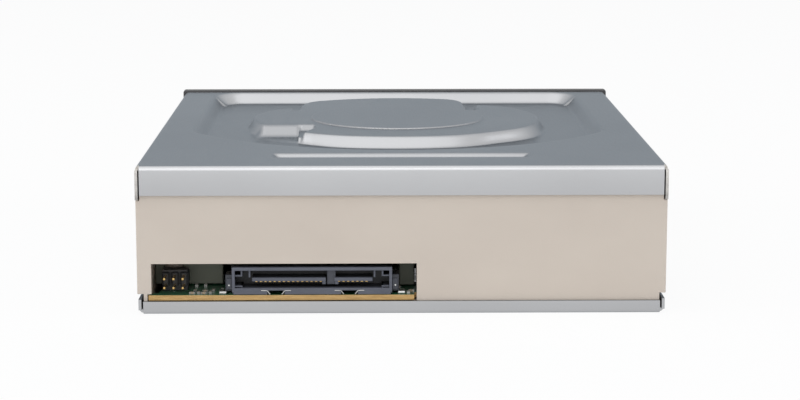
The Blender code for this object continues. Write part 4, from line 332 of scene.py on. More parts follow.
def spun(profile, place, steps, merge=1e-6):
    """A new bmesh of a closed line of (radius, height) points, turned about a place's vertical."""
    bm = bmesh.new()
    verts = [bm.verts.new((radius, 0.0, height)) for radius, height in profile]
    lines = [bm.edges.new((verts[i - 1], verts[i])) for i in range(len(verts))]
    bmesh.ops.spin(bm, geom=verts + lines, cent=(0.0, 0.0, 0.0), axis=(0.0, 0.0, 1.0),
                   angle=2.0 * math.pi, steps=steps, use_merge=True)
    bmesh.ops.translate(bm, verts=list({v for f in bm.faces for v in f.verts}), vec=place)
    bmesh.ops.remove_doubles(bm, verts=bm.verts, dist=merge)
    bmesh.ops.recalc_face_normals(bm, faces=bm.faces)
    return bm


spindle_y = -0.0155
grip = spun([(0.0118, 0.02530), (0.0146, 0.02530), (0.0147, 0.02560), (0.0145, 0.02575), (0.0120, 0.02575),
             (0.0117, 0.02560)], (0.0, spindle_y, 0.0), 72)
finished(grip, "disc_grip", damper_rubber, 0.0, 50.0, body="turntable")
cap = spun([(0.0021, 0.02650), (0.0056, 0.02650), (0.0057, 0.02675), (0.0055, 0.02690), (0.0023, 0.02690),
            (0.0020, 0.02675)], (0.0, spindle_y, 0.0), 60)
finished(cap, "hub_cap", bell_steel, 0.0, 50.0, body="turntable")

# Guide rods and feed drive.  The rods are ground steel.  A small stepper motor turns the lead
# screw, which has one rolled thread with a 3 mm lead.
ground_rod = turned_metal(
    "bright_steel_rod", (0.66, 0.66, 0.67), (0.76, 0.76, 0.77), 0.08, 0.18, (6.0, 0.1, 6.0))


def lay_rod(bm, radius, length, place, segments):
    """Adds a cylinder along Y to an empty bmesh, with its middle at a place."""
    bmesh.ops.create_cone(bm, cap_ends=True, segments=segments, radius1=radius, radius2=radius, depth=length)
    bmesh.ops.rotate(bm, verts=bm.verts, cent=(0.0, 0.0, 0.0), matrix=Matrix.Rotation(math.pi / 2, 3, 'X'))
    bmesh.ops.translate(bm, verts=bm.verts, vec=place)


for side, x in (("left", 0.0235), ("right", -0.0235)):
    bm = bmesh.new()
    lay_rod(bm, 0.00147, 0.0611, (x, 0.02675, 0.0172), 40)
    finished(bm, "rod_" + side, ground_rod, 0.0003, 50.0, node="guide_rod_" + side,
             body="traverse")
feed_can = turned_metal(
    "bright_steel_feed", (0.48, 0.48, 0.48), (0.62, 0.62, 0.62), 0.20, 0.36, (0.1, 6.0, 0.1))
remade("feed_motor", "stepper", feed_can, 0.00035, body="traverse")

thread_low, thread_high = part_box("lead_screw")
lead = 0.0030
steps_per_turn = 20
root_radius = 0.00090
core_radius = 0.00104
crest_radius = 0.00126
start_y = thread_low.y + 0.0020
turns = int((thread_high.y - 0.0012 - start_y) / lead)
bm = bmesh.new()
lay_rod(bm, core_radius, thread_high.y - thread_low.y - 0.0001,
        (0.0, (thread_high.y + thread_low.y) / 2, 0.0), 32)
rim = [bm.verts.new((radius, start_y + along, 0.0)) for radius, along in (
    (root_radius, -0.00075), (crest_radius, -0.00045), (crest_radius, 0.00045), (root_radius, 0.00075))]
bmesh.ops.spin(bm, geom=[bm.faces.new(rim)], cent=(0.0, 0.0, 0.0), axis=(0.0, 1.0, 0.0),
               dvec=(0.0, lead / steps_per_turn, 0.0), angle=2.0 * math.pi * turns,
               steps=steps_per_turn * turns)
bmesh.ops.remove_doubles(bm, verts=bm.verts, dist=1e-7)
bmesh.ops.recalc_face_normals(bm, faces=bm.faces)
bmesh.ops.translate(bm, verts=bm.verts, vec=(-0.0316, 0.0, 0.0156))
finished(bm, "feed_screw", ground_rod, 0.0, 40.0, node="lead_screw", body="lead_screw")

# Pickup.  A cast zinc body slides on the rods.  The black lens holder floats on it between two
# plated magnet yokes, and the small objective lens sits in the middle of the holder.
cast_zinc, tree, shader = surface("dark_steel_casting", (0.20, 0.205, 0.215), 0.85, 0.48)
skin = noise_on(tree, 900.0, (1.0, 1.0, 1.0), 3.0)
patch = noise_on(tree, 90.0, (1.0, 1.0, 1.0), 2.0)
feed(shader, 'Base Color', ramp(tree, patch, 0.3, 0.7, (0.17, 0.175, 0.185), (0.25, 0.255, 0.26)))
feed(shader, 'Roughness', spread_value(tree, skin, 0.38, 0.58))
feed(shader, 'Normal', relief(tree, skin, 0.00008, 0.5))
remade("pickup_body", "pickup_casting", cast_zinc, 0.00025, body="pickup")
chip_black = moulded("chip_black", (0.013, 0.013, 0.014), (0.024, 0.024, 0.026), 0.48, 0.62, 2600.0)
remade("lens_holder", "lens_frame", chip_black, 0.00020, body="pickup")


def bevelled(bm, edges, width, segments):
    """Rounds some of a bmesh's edges."""
    bmesh.ops.bevel(bm, geom=edges, offset=width, offset_type='OFFSET', segments=segments, profile=0.5,
                    affect='EDGES', material=-1)


def slab(bm, low, high, rounding=0.0):
    """Adds a block between two corners to a bmesh, with its edges broken."""
    middle = (Vector(low) + Vector(high)) / 2
    size = Matrix.Diagonal((*(Vector(high) - Vector(low)), 1.0))
    made = bmesh.ops.create_cube(bm, size=1.0, matrix=Matrix.Translation(middle) @ size)
    if rounding > 0.0:
        bevelled(bm, list({edge for vert in made["verts"] for edge in vert.link_edges}), rounding, 1)


holder_low, holder_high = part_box("lens_holder")
yoke_half = 0.0012
bm = bmesh.new()
for x in (-0.0058, 0.0058):
    slab(bm, (x - yoke_half, holder_low.y + 0.0010, holder_high.z - 0.0004),
         (x + yoke_half, holder_high.y - 0.0010, holder_high.z + 0.0006), 0.0002)
finished(bm, "magnet_yokes", bell_steel, 0.0, 40.0, body="pickup")
lens_glass, tree, shader = surface("lens_glass", (0.30, 0.40, 0.62), 0.0, 0.03)
shader.inputs['IOR'].default_value = 1.6
shader.inputs['Coat Weight'].default_value = 1.0
shader.inputs['Coat Roughness'].default_value = 0.02
bloom = noise_on(tree, 400.0, (1.0, 1.0, 1.0), 1.0)
feed(shader, 'Base Color', ramp(tree, bloom, 0.3, 0.7, (0.16, 0.22, 0.46), (0.34, 0.42, 0.66)))


def grown(bm, line):
    """Doubles a line of open edges; returns the new line's points and its edges."""
    made = bmesh.ops.extrude_edge_only(bm, edges=line)["geom"]
    points = [g for g in made if isinstance(g, bmesh.types.BMVert)]
    edges = [g for g in made if isinstance(g, bmesh.types.BMEdge) and all(v in points for v in g.verts)]
    return points, edges


lens_low, lens_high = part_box("objective_lens")
bm = bmesh.new()
bmesh.ops.create_uvsphere(bm, u_segments=40, v_segments=20, radius=0.0022)
bmesh.ops.bisect_plane(bm, geom=bm.verts[:] + bm.edges[:] + bm.faces[:], plane_co=(0.0, 0.0, 0.0),
                       plane_no=(0.0, 0.0, -1.0), clear_outer=True)
bmesh.ops.scale(bm, vec=(0.98, 0.98, 0.75), verts=bm.verts)
points = grown(bm, [e for e in bm.edges if e.is_boundary])[0]
bmesh.ops.translate(bm, verts=points, vec=(0.0, 0.0, -0.00012))
bmesh.ops.holes_fill(bm, edges=[e for e in bm.edges if e.is_boundary], sides=0)
bmesh.ops.translate(bm, verts=bm.verts, vec=(0.0, (lens_low.y + lens_high.y) / 2, lens_high.z - 0.00166))
bmesh.ops.recalc_face_normals(bm, faces=bm.faces)
finished(bm, "lens", lens_glass, 0.0, 50.0, node="objective_lens", body="pickup")

# Tray and its door.  Both are moulded in black plastic; the tray has a matt textured well for
# the disc, and the door's face matches the bezel's leather-like fine grain.
black_plastic = moulded(
    "black_plastic", (0.016, 0.016, 0.018), (0.026, 0.026, 0.028), 0.42, 0.58, 2000.0, 0.00006)
remade("tray", "drawer", black_plastic, 0.00025, body="tray")
remade("tray_door", "drawer_face", black_plastic, 0.0, body="tray")

# Main board.  Glass-fibre laminate: the cut edge shows tan with darker fibres, and both faces
# have a green solder mask over copper tracks, with small tinned dots where layers join.
board_green, tree, shader = surface("board_green", (0.022, 0.115, 0.052), 0.0, 0.32)
shader.inputs['Specular IOR Level'].default_value = 0.6
facing = tree.nodes.new('ShaderNodeNewGeometry')
upward = tree.nodes.new('ShaderNodeSeparateXYZ')
tree.links.new(facing.outputs['Normal'], upward.inputs['Vector'])
face_share = worked_out(tree, 'ABSOLUTE', upward.outputs['Z'])
is_face = worked_out(tree, 'GREATER_THAN', face_share, 0.7)
place = tree.nodes.new('ShaderNodeTexCoord')
tracks = tree.nodes.new('ShaderNodeTexBrick')
tracks.inputs['Color1'].default_value = (0.013, 0.070, 0.033, 1.0)
tracks.inputs['Color2'].default_value = (0.019, 0.090, 0.044, 1.0)
tracks.inputs['Mortar'].default_value = (0.028, 0.125, 0.056, 1.0)
tracks.inputs['Scale'].default_value = 420.0
tracks.inputs['Mortar Size'].default_value = 0.035
tracks.inputs['Brick Width'].default_value = 2.6
tracks.inputs['Row Height'].default_value = 0.32
tree.links.new(place.outputs['Object'], tracks.inputs['Vector'])
joints = tree.nodes.new('ShaderNodeTexVoronoi')
joints.inputs['Scale'].default_value = 330.0
tree.links.new(place.outputs['Object'], joints.inputs['Vector'])
is_dot = worked_out(tree, 'LESS_THAN', joints.outputs['Distance'], 0.085)


def blend(tree, share, first, second):
    """A colour mixed of two by a share; each of them is a socket or a plain colour."""
    mix = tree.nodes.new('ShaderNodeMix')
    mix.data_type = 'RGBA'
    tree.links.new(share, mix.inputs['Factor'])
    for name, colour in (('A', first), ('B', second)):
        if isinstance(colour, tuple):
            mix.inputs[name].default_value = (*colour, 1.0)
        else:
            tree.links.new(colour, mix.inputs[name])
    return mix.outputs['Result']


mask = blend(tree, is_dot, tracks.outputs['Color'], (0.52, 0.52, 0.48))
fibre = noise_on(tree, 700.0, (0.4, 0.4, 5.0), 3.0)
laminate = ramp(tree, fibre, 0.25, 0.8, (0.40, 0.235, 0.075), (0.66, 0.43, 0.17))
feed(shader, 'Base Color', blend(tree, is_face, laminate, mask))
feed(shader, 'Roughness', spread_value(tree, is_face, 0.62, 0.30))
feed(shader, 'Normal', relief(tree, tracks.outputs['Fac'], 0.00003, 0.4))
remade("main_board", "laminate", board_green, 0.00008)

# Chips.  Black moulded packages with tinned gull-wing leads on two or four sides.
tin = turned_metal("bright_steel_tin", (0.56, 0.56, 0.54), (0.74, 0.74, 0.72), 0.22, 0.40, (1.0, 1.0, 1.0))


def leads(bm, low, high, seat, pitch, reach, four_sides):
    """Adds rows of bent leads round a package: shoulder, leg and foot."""
    thick = 0.00013
    root = 0.0002
    leg_out = reach * 0.45
    half = pitch * 0.27
    shoulder = (seat + high.z) / 2
    middle = (low + high) / 2
    rows = [(1, low.y, -1), (1, high.y, 1)]
    if four_sides:
        rows += [(0, low.x, -1), (0, high.x, 1)]
    for along, line, way in rows:
        span = (high.x - low.x) if along == 1 else (high.y - low.y)
        count = int((span - 2 * pitch) / pitch)
        centre = middle.x if along == 1 else middle.y
        for number in range(count):
            at = centre + (number - (count - 1) / 2) * pitch
            steps = ((-root, leg_out, shoulder, shoulder + thick),
                     (leg_out - thick, leg_out, seat, shoulder + thick),
                     (leg_out, reach, seat, seat + thick))
            for start, end, z0, z1 in steps:
                a, b = sorted((line + way * start, line + way * end))
                if along == 1:
                    slab(bm, (at - half, a, z0), (at + half, b, z1))
                else:
                    slab(bm, (a, at - half, z0), (b, at + half, z1))


stand_off = Vector((0.0, 0.0, 0.0001))
dot_inset = 0.0011
for node, name, pitch, reach, four_sides in (
        ("main_chip", "controller", 0.0006, 0.0010, True),
        ("motor_driver_chip", "driver", 0.0008, 0.0010, False),
        ("memory_chip", "memory", 0.0010, 0.0006, False)):
    low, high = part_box(node)
    inset = Vector((reach if four_sides else 0.0, reach, 0.0))
    body_low = low + inset
    body_high = high - inset
    dot_place = Matrix.Translation((body_low.x + dot_inset, body_low.y + dot_inset, body_high.z))
    bm = bmesh.new()
    slab(bm, body_low + stand_off, body_high, 0.00018)
    bmesh.ops.create_cone(bm, cap_ends=True, segments=20, radius1=0.0004, radius2=0.0004, depth=0.00006,
                          matrix=dot_place)
    finished(bm, name + "_package", chip_black, node=node)
    bm = bmesh.new()
    leads(bm, body_low, body_high, low.z, pitch, reach, four_sides)
    finished(bm, name + "_leads", tin)

# Capacitors, the flat cable's socket and small parts, all soldered to the board.
can_metal = turned_metal(
    "bright_steel_cap", (0.55, 0.55, 0.56), (0.70, 0.70, 0.71), 0.20, 0.34, (0.2, 0.2, 4.0))
foot_rim = 0.0001
tab_half = 0.0003
tab_out = 0.0006
for number in (1, 2):
    remade("capacitor_" + str(number), "can_" + str(number), can_metal, 0.0002)
    low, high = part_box("capacitor_" + str(number))
    middle = (low + high) / 2
    bm = bmesh.new()
    slab(bm, (low.x - foot_rim, low.y - foot_rim, low.z),
         (high.x + foot_rim, high.y + foot_rim, low.z + 0.0007), 0.0002)
    slab(bm, (middle.x - tab_half, low.y - tab_out, low.z),
         (middle.x + tab_half, high.y + tab_out, low.z + 0.00015))
    finished(bm, "can_foot_" + str(number), chip_black)
low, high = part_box("cable_socket")
bm = bmesh.new()
slab(bm, low, (high.x, low.y + 0.0024, high.z), 0.00012)
slab(bm, (low.x + 0.0012, low.y + 0.0020, low.z), (high.x - 0.0012, high.y, high.z - 0.0006), 0.00012)
slab(bm, (low.x + 0.0002, high.y - 0.0011, high.z - 0.0008), (high.x - 0.0002, high.y, high.z - 0.0001),
     0.00015)
finished(bm, "cable_clamp", acetal, node="cable_socket")
bm = bmesh.new()
contact_count = 40
contact_pitch = 0.0005
for number in range(contact_count):
    x = low.x + 0.0022 + number * contact_pitch
    slab(bm, (x, low.y - 0.0008, low.z - 0.00005), (x + 0.00022, low.y + 0.0004, low.z + 0.00020))
finished(bm, "cable_contacts", tin)

ceramic = moulded(
    "small_part_ceramic", (0.30, 0.235, 0.165), (0.42, 0.335, 0.245), 0.34, 0.50, 1800.0, 0.00002)
board_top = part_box("main_board")[1].z
bodies = bmesh.new()
ends = bmesh.new()
# Places of the small parts in millimetres, and whether the part lies along Y.
small_parts = [(58.0, 82.2, 0), (56.2, 81.8, 1), (54.8, 82.3, 0), (53.0, 81.6, 1), (57.4, 79.6, 1),
               (54.6, 79.6, 0), (52.4, 79.0, 1), (-1.8, 81.8, 1), (-2.6, 79.8, 0), (1.0, 74.8, 0),
               (-6.0, 75.5, 1), (-12.0, 74.5, 0), (-18.0, 74.5, 1), (-26.0, 74.0, 0), (37.0, 60.0, 1),
               (39.5, 60.0, 1), (42.0, 60.0, 1), (35.5, 75.5, 0), (40.0, 75.5, 0), (15.0, 64.0, 1),
               (15.0, 67.0, 1), (12.0, 64.0, 0), (8.0, 69.0, 0), (8.0, 72.0, 0), (-8.0, 62.0, 1),
               (-30.0, 60.0, 0), (-30.0, 57.0, 0), (55.0, 72.0, 1), (57.5, 72.0, 1), (43.0, 74.0, 0),
               (47.0, 74.5, 0), (20.0, 56.0, 0)]
long = 0.00080
wide = 0.00042
high_part = 0.00055
for x, y, turned_part in small_parts:
    reach_x, reach_y = (wide, long) if turned_part else (long, wide)
    body = Vector((reach_x * 0.62, reach_y * 0.62, 0.0))
    place = Vector((x / 1000.0, y / 1000.0, board_top))
    slab(bodies, place - body, place + body + Vector((0.0, 0.0, high_part)))
    for way in (-1, 1):
        shift = Vector((0.0, way * long * 0.8, 0.0)) if turned_part else Vector((way * long * 0.8, 0.0, 0.0))
        thick = Vector((wide, long * 0.22, 0.0)) if turned_part else Vector((long * 0.22, wide, 0.0))
        middle = place + shift
        slab(ends, middle - thick, middle + thick + Vector((0.0, 0.0, high_part + 0.00004)))
finished(bodies, "small_parts", ceramic)
# Painted shade: the solder ends are coloured a dim grey, far darker than the bright tin, for the shade they
# lie in.
shaded_solder = turned_metal(
    "solder_painted_shade", (0.20, 0.20, 0.19), (0.38, 0.38, 0.36), 0.30, 0.48, (1.0, 1.0, 1.0))
finished(ends, "small_part_ends", shaded_solder)

# Rear connector.  One dark moulded shell holds the power tongue, the signal tongue and the key
# block between them; its ears are pegged and soldered to the board by tinned tabs.


def carved(bm, tool):
    """Cuts a tool's shapes out of a bmesh and gives back the result."""
    pair = [object_of(bm, "stock"), object_of(tool, "tool")]
    cut = pair[0].modifiers.new("Cut", 'BOOLEAN')
    cut.operation = 'DIFFERENCE'
    cut.solver = 'EXACT'
    cut.use_self = True
    cut.object = pair[1]
    bpy.context.view_layer.update()
    result = pair[0].evaluated_get(bpy.context.evaluated_depsgraph_get()).to_mesh()
    made = bmesh.new()
    made.from_mesh(result)
    pair[0].evaluated_get(bpy.context.evaluated_depsgraph_get()).to_mesh_clear()
    for thing in pair:
        mesh = thing.data
        bpy.data.objects.remove(thing)
        bpy.data.meshes.remove(mesh)
    made_whole(made)
    return made


face_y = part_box("sata_connector")[1].y
connector_plastic, tree, shader = surface("connector_plastic", (0.066, 0.073, 0.095), 0.0, 0.45)
flow = noise_on(tree, 90.0, (1.0, 1.0, 2.0), 3.0)
cast = ramp(tree, flow, 0.3, 0.7, (0.078, 0.084, 0.108), (0.098, 0.106, 0.134))
place = tree.nodes.new('ShaderNodeTexCoord')
axes = tree.nodes.new('ShaderNodeSeparateXYZ')
tree.links.new(place.outputs['Object'], axes.inputs['Vector'])
# Painted shade: the plastic's colour runs from its moulded tone to near black between 0.8 and 2.6 mm inside
# the face, standing in for the shade deep in the cavities and behind them.
depth = tree.nodes.new('ShaderNodeMapRange')
depth.inputs['From Min'].default_value = face_y - 0.0026
depth.inputs['From Max'].default_value = face_y - 0.0008
tree.links.new(axes.outputs['Y'], depth.inputs['Value'])
feed(shader, 'Base Color', blend(tree, depth.outputs['Result'], (0.012, 0.013, 0.016), cast))
texture = noise_on(tree, 2200.0, (1.0, 1.0, 1.0), 2.0)
feed(shader, 'Normal', relief(tree, texture, 0.00003, 0.5))
seat_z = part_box("sata_connector")[0].z
back_y = face_y - 0.0080
past_face = face_y + 0.001
cavity_left = 0.0461
cavity_right = 0.0035
lower_slots = ((0.0371, 0.0324), (0.0168, 0.0122))
bm = bmesh.new()
slab(bm, (0.0027, back_y, seat_z), (0.0469, face_y, 0.0129))
tool = bmesh.new()
slab(tool, (cavity_right, face_y - 0.0062, 0.0071), (cavity_left, past_face, 0.0120))
for left, right in lower_slots:
    slab(tool, (right, back_y - 0.001, 0.0045), (left, past_face, 0.0064))
for x in (0.0023, 0.0465):
    slab(tool, (x, face_y - 0.0012, 0.0046), (x + 0.0008, past_face, 0.0060))
bm = carved(bm, tool)
finished(bm, "shroud", connector_plastic, 0.00013, node="sata_connector")

# Ears at both ends, the two tongues with a leg each, the key block, and the posts and ledges of
# the cavity's ends.
root_y = back_y + 0.0010
post_thick = 0.0005
ledge_out = 0.0021
bm = bmesh.new()
for x0, x1 in ((0.0008, 0.0029), (0.0467, 0.0488)):
    slab(bm, (x0, back_y + 0.0004, 0.0059), (x1, face_y - 0.0020, 0.0105), 0.00012)
    slab(bm, (x0 + 0.0003, face_y - 0.0022, 0.0064), (x1 - 0.0003, face_y - 0.0016, 0.0095), 0.0001)
for left, right, leg_x in ((0.0414, 0.0210, 0.0210), (0.0187, 0.0081, 0.0175)):
    slab(bm, (right, root_y, 0.0088), (left, face_y - 0.0008, 0.0099), 0.00014)
    slab(bm, (leg_x, root_y, 0.0079), (leg_x + 0.0010, face_y - 0.0010, 0.0097), 0.00012)
slab(bm, (0.0183, root_y, 0.0078), (0.0207, face_y - 0.0016, 0.0122), 0.00012)
for wall_x, way in ((cavity_left, -1), (cavity_right, 1)):
    for post, low_z, high_z in ((0.0016, 0.0103, 0.0121), (0.0038, 0.0100, 0.0121), (0.0016, 0.0070, 0.0077)):
        x0, x1 = sorted((wall_x + way * post, wall_x + way * (post + post_thick)))
        slab(bm, (x0, root_y, low_z), (x1, face_y - 0.0007, high_z), 0.00008)
    for low_z, high_z in ((0.0103, 0.0107), (0.0073, 0.0077)):
        x0, x1 = sorted((wall_x - way * 0.0002, wall_x + way * ledge_out))
        slab(bm, (x0, root_y, low_z), (x1, face_y - 0.0005, high_z), 0.00008)
finished(bm, "tongues", connector_plastic)

# Contacts.  Gold plated spring contacts lie on the tongues' undersides, 1.27 mm apart, and
# tinned tabs and tails are soldered to the board.
gold = turned_metal("bright_steel_gold", (0.42, 0.27, 0.10), (0.70, 0.48, 0.19), 0.18, 0.34, (1.0, 0.3, 1.0))
blade_pitch = 0.00127
blade_half = 0.00036
tip_half = 0.00020
bm = bmesh.new()
for first, count in ((0.0402, 15), (0.0174, 7)):
    for number in range(count):
        x = first - number * blade_pitch
        slab(bm, (x - blade_half, face_y - 0.0055, 0.00865), (x + blade_half, face_y - 0.0012, 0.00885))
        slab(bm, (x - tip_half, face_y - 0.0013, 0.00876), (x + tip_half, face_y - 0.00082, 0.00902))
finished(bm, "contact_blades", gold)

# The tinned metal: a tab at each end, bright lines along the lower slots' bent sides, a peg's end
# in each ear, and the tails behind.
bm = bmesh.new()
for x0, x1 in ((-0.0010, 0.0012), (0.0484, 0.0506)):
    slab(bm, (x0, face_y - 0.0050, board_top), (x1, face_y - 0.0012, board_top + 0.0007), 0.0002)
for left, right in lower_slots:
    for edge_x, way in ((left, 1), (right, -1)):
        points = ((way * 0.0017, 0.00648), (way * 0.0001, 0.00648), (-way * 0.0007, 0.00548))
        for (x0, z0), (x1, z1) in zip(points, points[1:]):
            start = Vector((edge_x + x0, face_y - 0.0001, z0))
            end = Vector((edge_x + x1, face_y - 0.0001, z1))
            turn = Matrix.Rotation(-math.atan2(end.z - start.z, end.x - start.x), 4, 'Y')
            size = Matrix.Diagonal(((end - start).length + 0.00012, 0.0006, 0.00016, 1.0))
            bmesh.ops.create_cube(bm, size=1.0, matrix=Matrix.Translation((start + end) / 2) @ turn @ size)
turn = Matrix.Rotation(math.pi / 2, 4, 'X')
for x in (0.0478, 0.0018):
    bmesh.ops.create_cone(bm, cap_ends=True, segments=16, radius1=0.00022, radius2=0.00022, depth=0.0003,
                          matrix=Matrix.Translation((x, face_y - 0.0017, 0.0076)) @ turn)
tail_half = 0.0004
for x in (0.0500, 0.0440, 0.0410, 0.0290, 0.0240, 0.0200, 0.0100, 0.0060):
    slab(bm, (x - tail_half, back_y - 0.0012, board_top),
         (x + tail_half, back_y + 0.0003, board_top + 0.0002))
finished(bm, "solder_tabs", tin)

# Jumper header.  Three black towers stand side by side, each with two square gold plated pins
# that point to the rear and bend down into the board.
bm = bmesh.new()
header_low, header_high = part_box("jumper_header")
tower_y = header_low.y + 0.0050
pin_half = 0.00032
pin_pitch = 0.00254
tower_half = 0.00118
collar_half = 0.0008
towers = [0.0656 - number * pin_pitch for number in range(3)]
for x in towers:
    slab(bm, (x - tower_half, header_low.y, 0.0066),
         (x + tower_half, tower_y, header_high.z - 0.0009), 0.00035)
    slab(bm, (x - collar_half, tower_y - 0.0005, 0.0065), (x + collar_half, tower_y + 0.0004, 0.0104), 0.0002)
    slab(bm, (x - pin_half, tower_y - 0.0022, board_top + 0.0001), (x + pin_half, tower_y - 0.0016, 0.0066))
slab(bm, (towers[2] - 0.0009, header_low.y + 0.0004, header_low.z),
     (towers[0] + 0.0009, tower_y - 0.0004, 0.0110))
finished(bm, "header_towers", chip_black, node="jumper_header")
bm = bmesh.new()
leg_front = header_low.y - 0.0012
for x in towers:
    for z in (0.0070, 0.00954):
        slab(bm, (x - pin_half, tower_y - 0.001, z - pin_half),
             (x + pin_half, header_high.y, z + pin_half), 0.00012)
    slab(bm, (x - pin_half, leg_front, board_top), (x + pin_half, header_low.y - 0.0006, 0.0098), 0.00008)
    slab(bm, (x - pin_half, leg_front, 0.0092), (x + pin_half, header_low.y + 0.0004, 0.0098), 0.00008)
finished(bm, "header_pins", gold)

# Rear wall's side rims.  Narrow strips of the frame's beige plastic that carry the wall out to the
# cover's width, each with its outer corner rounded by 0.3 mm.
wall_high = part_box("main_frame")[1]
cover_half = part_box("top_cover")[1].x
rim_front = 0.0820
rim_low = 0.0056
rim_high = 0.0316
bm = bmesh.new()
for side in (-1, 1):
    inner, outer = sorted((side * wall_high.x, side * cover_half))
    slab(bm, (inner, rim_front, rim_low), (outer, wall_high.y, rim_high))
corners = [e for e in bm.edges if all(abs(abs(v.co.x) - cover_half) < 1e-6 and v.co.y > wall_high.y - 1e-6
                                      for v in e.verts)]
bevelled(bm, corners, 0.0003, 3)
finished(bm, "wall_rims", beige)

# Webs under the frame's rear beam.  They close the view into the drive on both sides of the
# connector, 0.3 mm above the board, with one web ending on each side of the frame's post.  Their
# dark greenish grey is painted shade, its green tint a painted reflection of the board, over a
# fine grain.
web_painted_shade = moulded("web_plastic_painted_shade", (0.165, 0.175, 0.135), (0.215, 0.225, 0.180), 0.50, 0.66, 2400.0)
bm = bmesh.new()
for x0, x1, rear_face in ((0.0502, 0.0615, 0.0704), (0.0665, 0.0693, 0.0704), (-0.0036, 0.0006, 0.0726)):
    slab(bm, (x0, rear_face - 0.0012, board_top + 0.0003), (x1, rear_face, 0.0120), 0.0002)
finished(bm, "beam_webs", web_painted_shade)

# Front board.  A small green board hangs behind the bezel; it carries the eject switch and an
# amber lamp whose light a clear moulded pipe brings to the front.
remade("front_board", "front_laminate", board_green, 0.00008)
remade("eject_switch", "switch_case", chip_black, 0.00015)
low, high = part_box("eject_switch")
bm = bmesh.new()
for edge_x, inner, outer in ((low.x, 0.0001, -0.0004), (high.x, -0.0001, 0.0004)):
    x0, x1 = sorted((edge_x + inner, edge_x + outer))
    slab(bm, (x0, high.y - 0.0030, low.z), (x1, high.y - 0.0024, low.z + 0.0016), 0.0001)
slab(bm, (low.x + 0.0003, high.y - 0.0034, high.z - 0.0001),
     (high.x - 0.0003, high.y - 0.0003, high.z + 0.00012), 0.0001)
finished(bm, "switch_frame", tin)
amber = moulded("amber_light", (0.50, 0.30, 0.07), (0.66, 0.42, 0.12), 0.10, 0.22, 900.0, 0.00001)
lamp_white = moulded("lamp_white", (0.66, 0.64, 0.52), (0.80, 0.78, 0.66), 0.22, 0.34, 900.0, 0.00001)
remade("indicator_led", "lamp", lamp_white, 0.00015)
remade("light_pipe", "light_guide", amber, 0.00020)

# Clamp.  A moulded bridge spans the frame above the disc, and the clamper hangs loose in its
# hole with a steel plate on top that the spindle's magnet pulls down.
remade("clamp_bridge", "bridge", filled_plastic, 0.00025)
remade("clamper", "clamp_puck", black_plastic, 0.00020, body="clamper")
remade("clamp_plate", "clamp_iron", zinc_steel, 0.00015, body="clamper")

# Bottom cover.  A shallow pressed tray of the same steel, with a low rear lip, side flanges,
# a stiffening panel, and dimples that take the heads of four screws.
remade("bottom_cover", "lower_cover", zinc_steel, 0.00010, 40.0)

# Cover screws.  Flat-headed, with a cross recess and a dark plated finish.
screw_steel = turned_metal(
    "dark_steel_screw", (0.15, 0.15, 0.16), (0.27, 0.27, 0.28), 0.24, 0.38, (0.3, 0.3, 5.0))
for number in range(1, 5):
    low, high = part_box("cover_screw_" + str(number))
    middle = (low + high) / 2
    bm = spun([(0.00001, low.z), (0.0022, low.z), (0.0027, low.z + 0.00025), (0.0028, low.z + 0.0006),
               (0.0028, low.z + 0.0008), (0.0013, low.z + 0.0008), (0.0013, high.z - 0.0006),
               (0.0009, high.z), (0.00001, high.z)], (middle.x, middle.y, 0.0), 40, 0.00003)
    tool = bmesh.new()
    for angle in (0.0, math.pi / 2):
        turn = Matrix.Translation((middle.x, middle.y, low.z)) @ Matrix.Rotation(angle + 0.4 * number, 4, 'Z')
        bmesh.ops.create_cube(tool, size=1.0, matrix=turn @ Matrix.Diagonal((0.0027, 0.0006, 0.0012, 1.0)))
    bm = carved(bm, tool)
    finished(bm, "flat_screw_" + str(number), screw_steel, node="cover_screw_" + str(number))

# Top cover.  One pressed sheet of steel: a sunk pan with a plateau over the spindle, a dial in
# the plateau's middle, a stiffening bead at the rear, and three sides folded down.
cut_steel, tree, shader = surface("zinc_steel_cut", (0.62, 0.60, 0.57), 0.35, 0.55)
shear = noise_on(tree, 500.0, (1.0, 6.0, 1.0), 3.0)
feed(shader, 'Base Color', ramp(tree, shear, 0.3, 0.7, (0.50, 0.48, 0.455), (0.66, 0.635, 0.60)))
feed(shader, 'Normal', relief(tree, shear, 0.00004, 0.5))
sheet = 0.0008
half_width = 0.0730
top_z = 0.0413
front_y = -0.0797
rear_y = 0.0850
fold_radius = 0.0012
pan_depth = 0.0034
bead_depth = 0.0011
dial_rise = 0.00034
dial_foot = 0.02755
dial_top = 0.02733
dial_middle = 0.02744


def press_step(t):
    """A pressed slope's rise from 0 to 1: straight in the middle, with a fillet at each end."""
    t = min(1.0, max(0.0, t))
    soft = 0.3
    if t < soft:
        return t * t / (2.0 * soft * (1.0 - soft))
    if t > 1.0 - soft:
        return 1.0 - (1.0 - t) ** 2 / (2.0 * soft * (1.0 - soft))
    return (t - soft / 2.0) / (1.0 - soft)


def ease(t):
    """A smooth step from 0 to 1."""
    t = min(1.0, max(0.0, t))
    return t * t * (3.0 - 2.0 * t)


def along_polar(angle, table):
    """Value at an angle in a table of (degrees, value) pairs that closes on itself."""
    for (a0, v0), (a1, v1) in zip(table, table[1:]):
        if a0 <= angle <= a1:
            return v0 + (v1 - v0) * ease((angle - a0) / (a1 - a0))
    return table[-1][1]


def rounded(first, second, radius):
    """The lesser of two distances, with the corner between their lines rounded."""
    if first > radius or second > radius:
        return min(first, second)
    return radius - math.hypot(radius - first, radius - second)


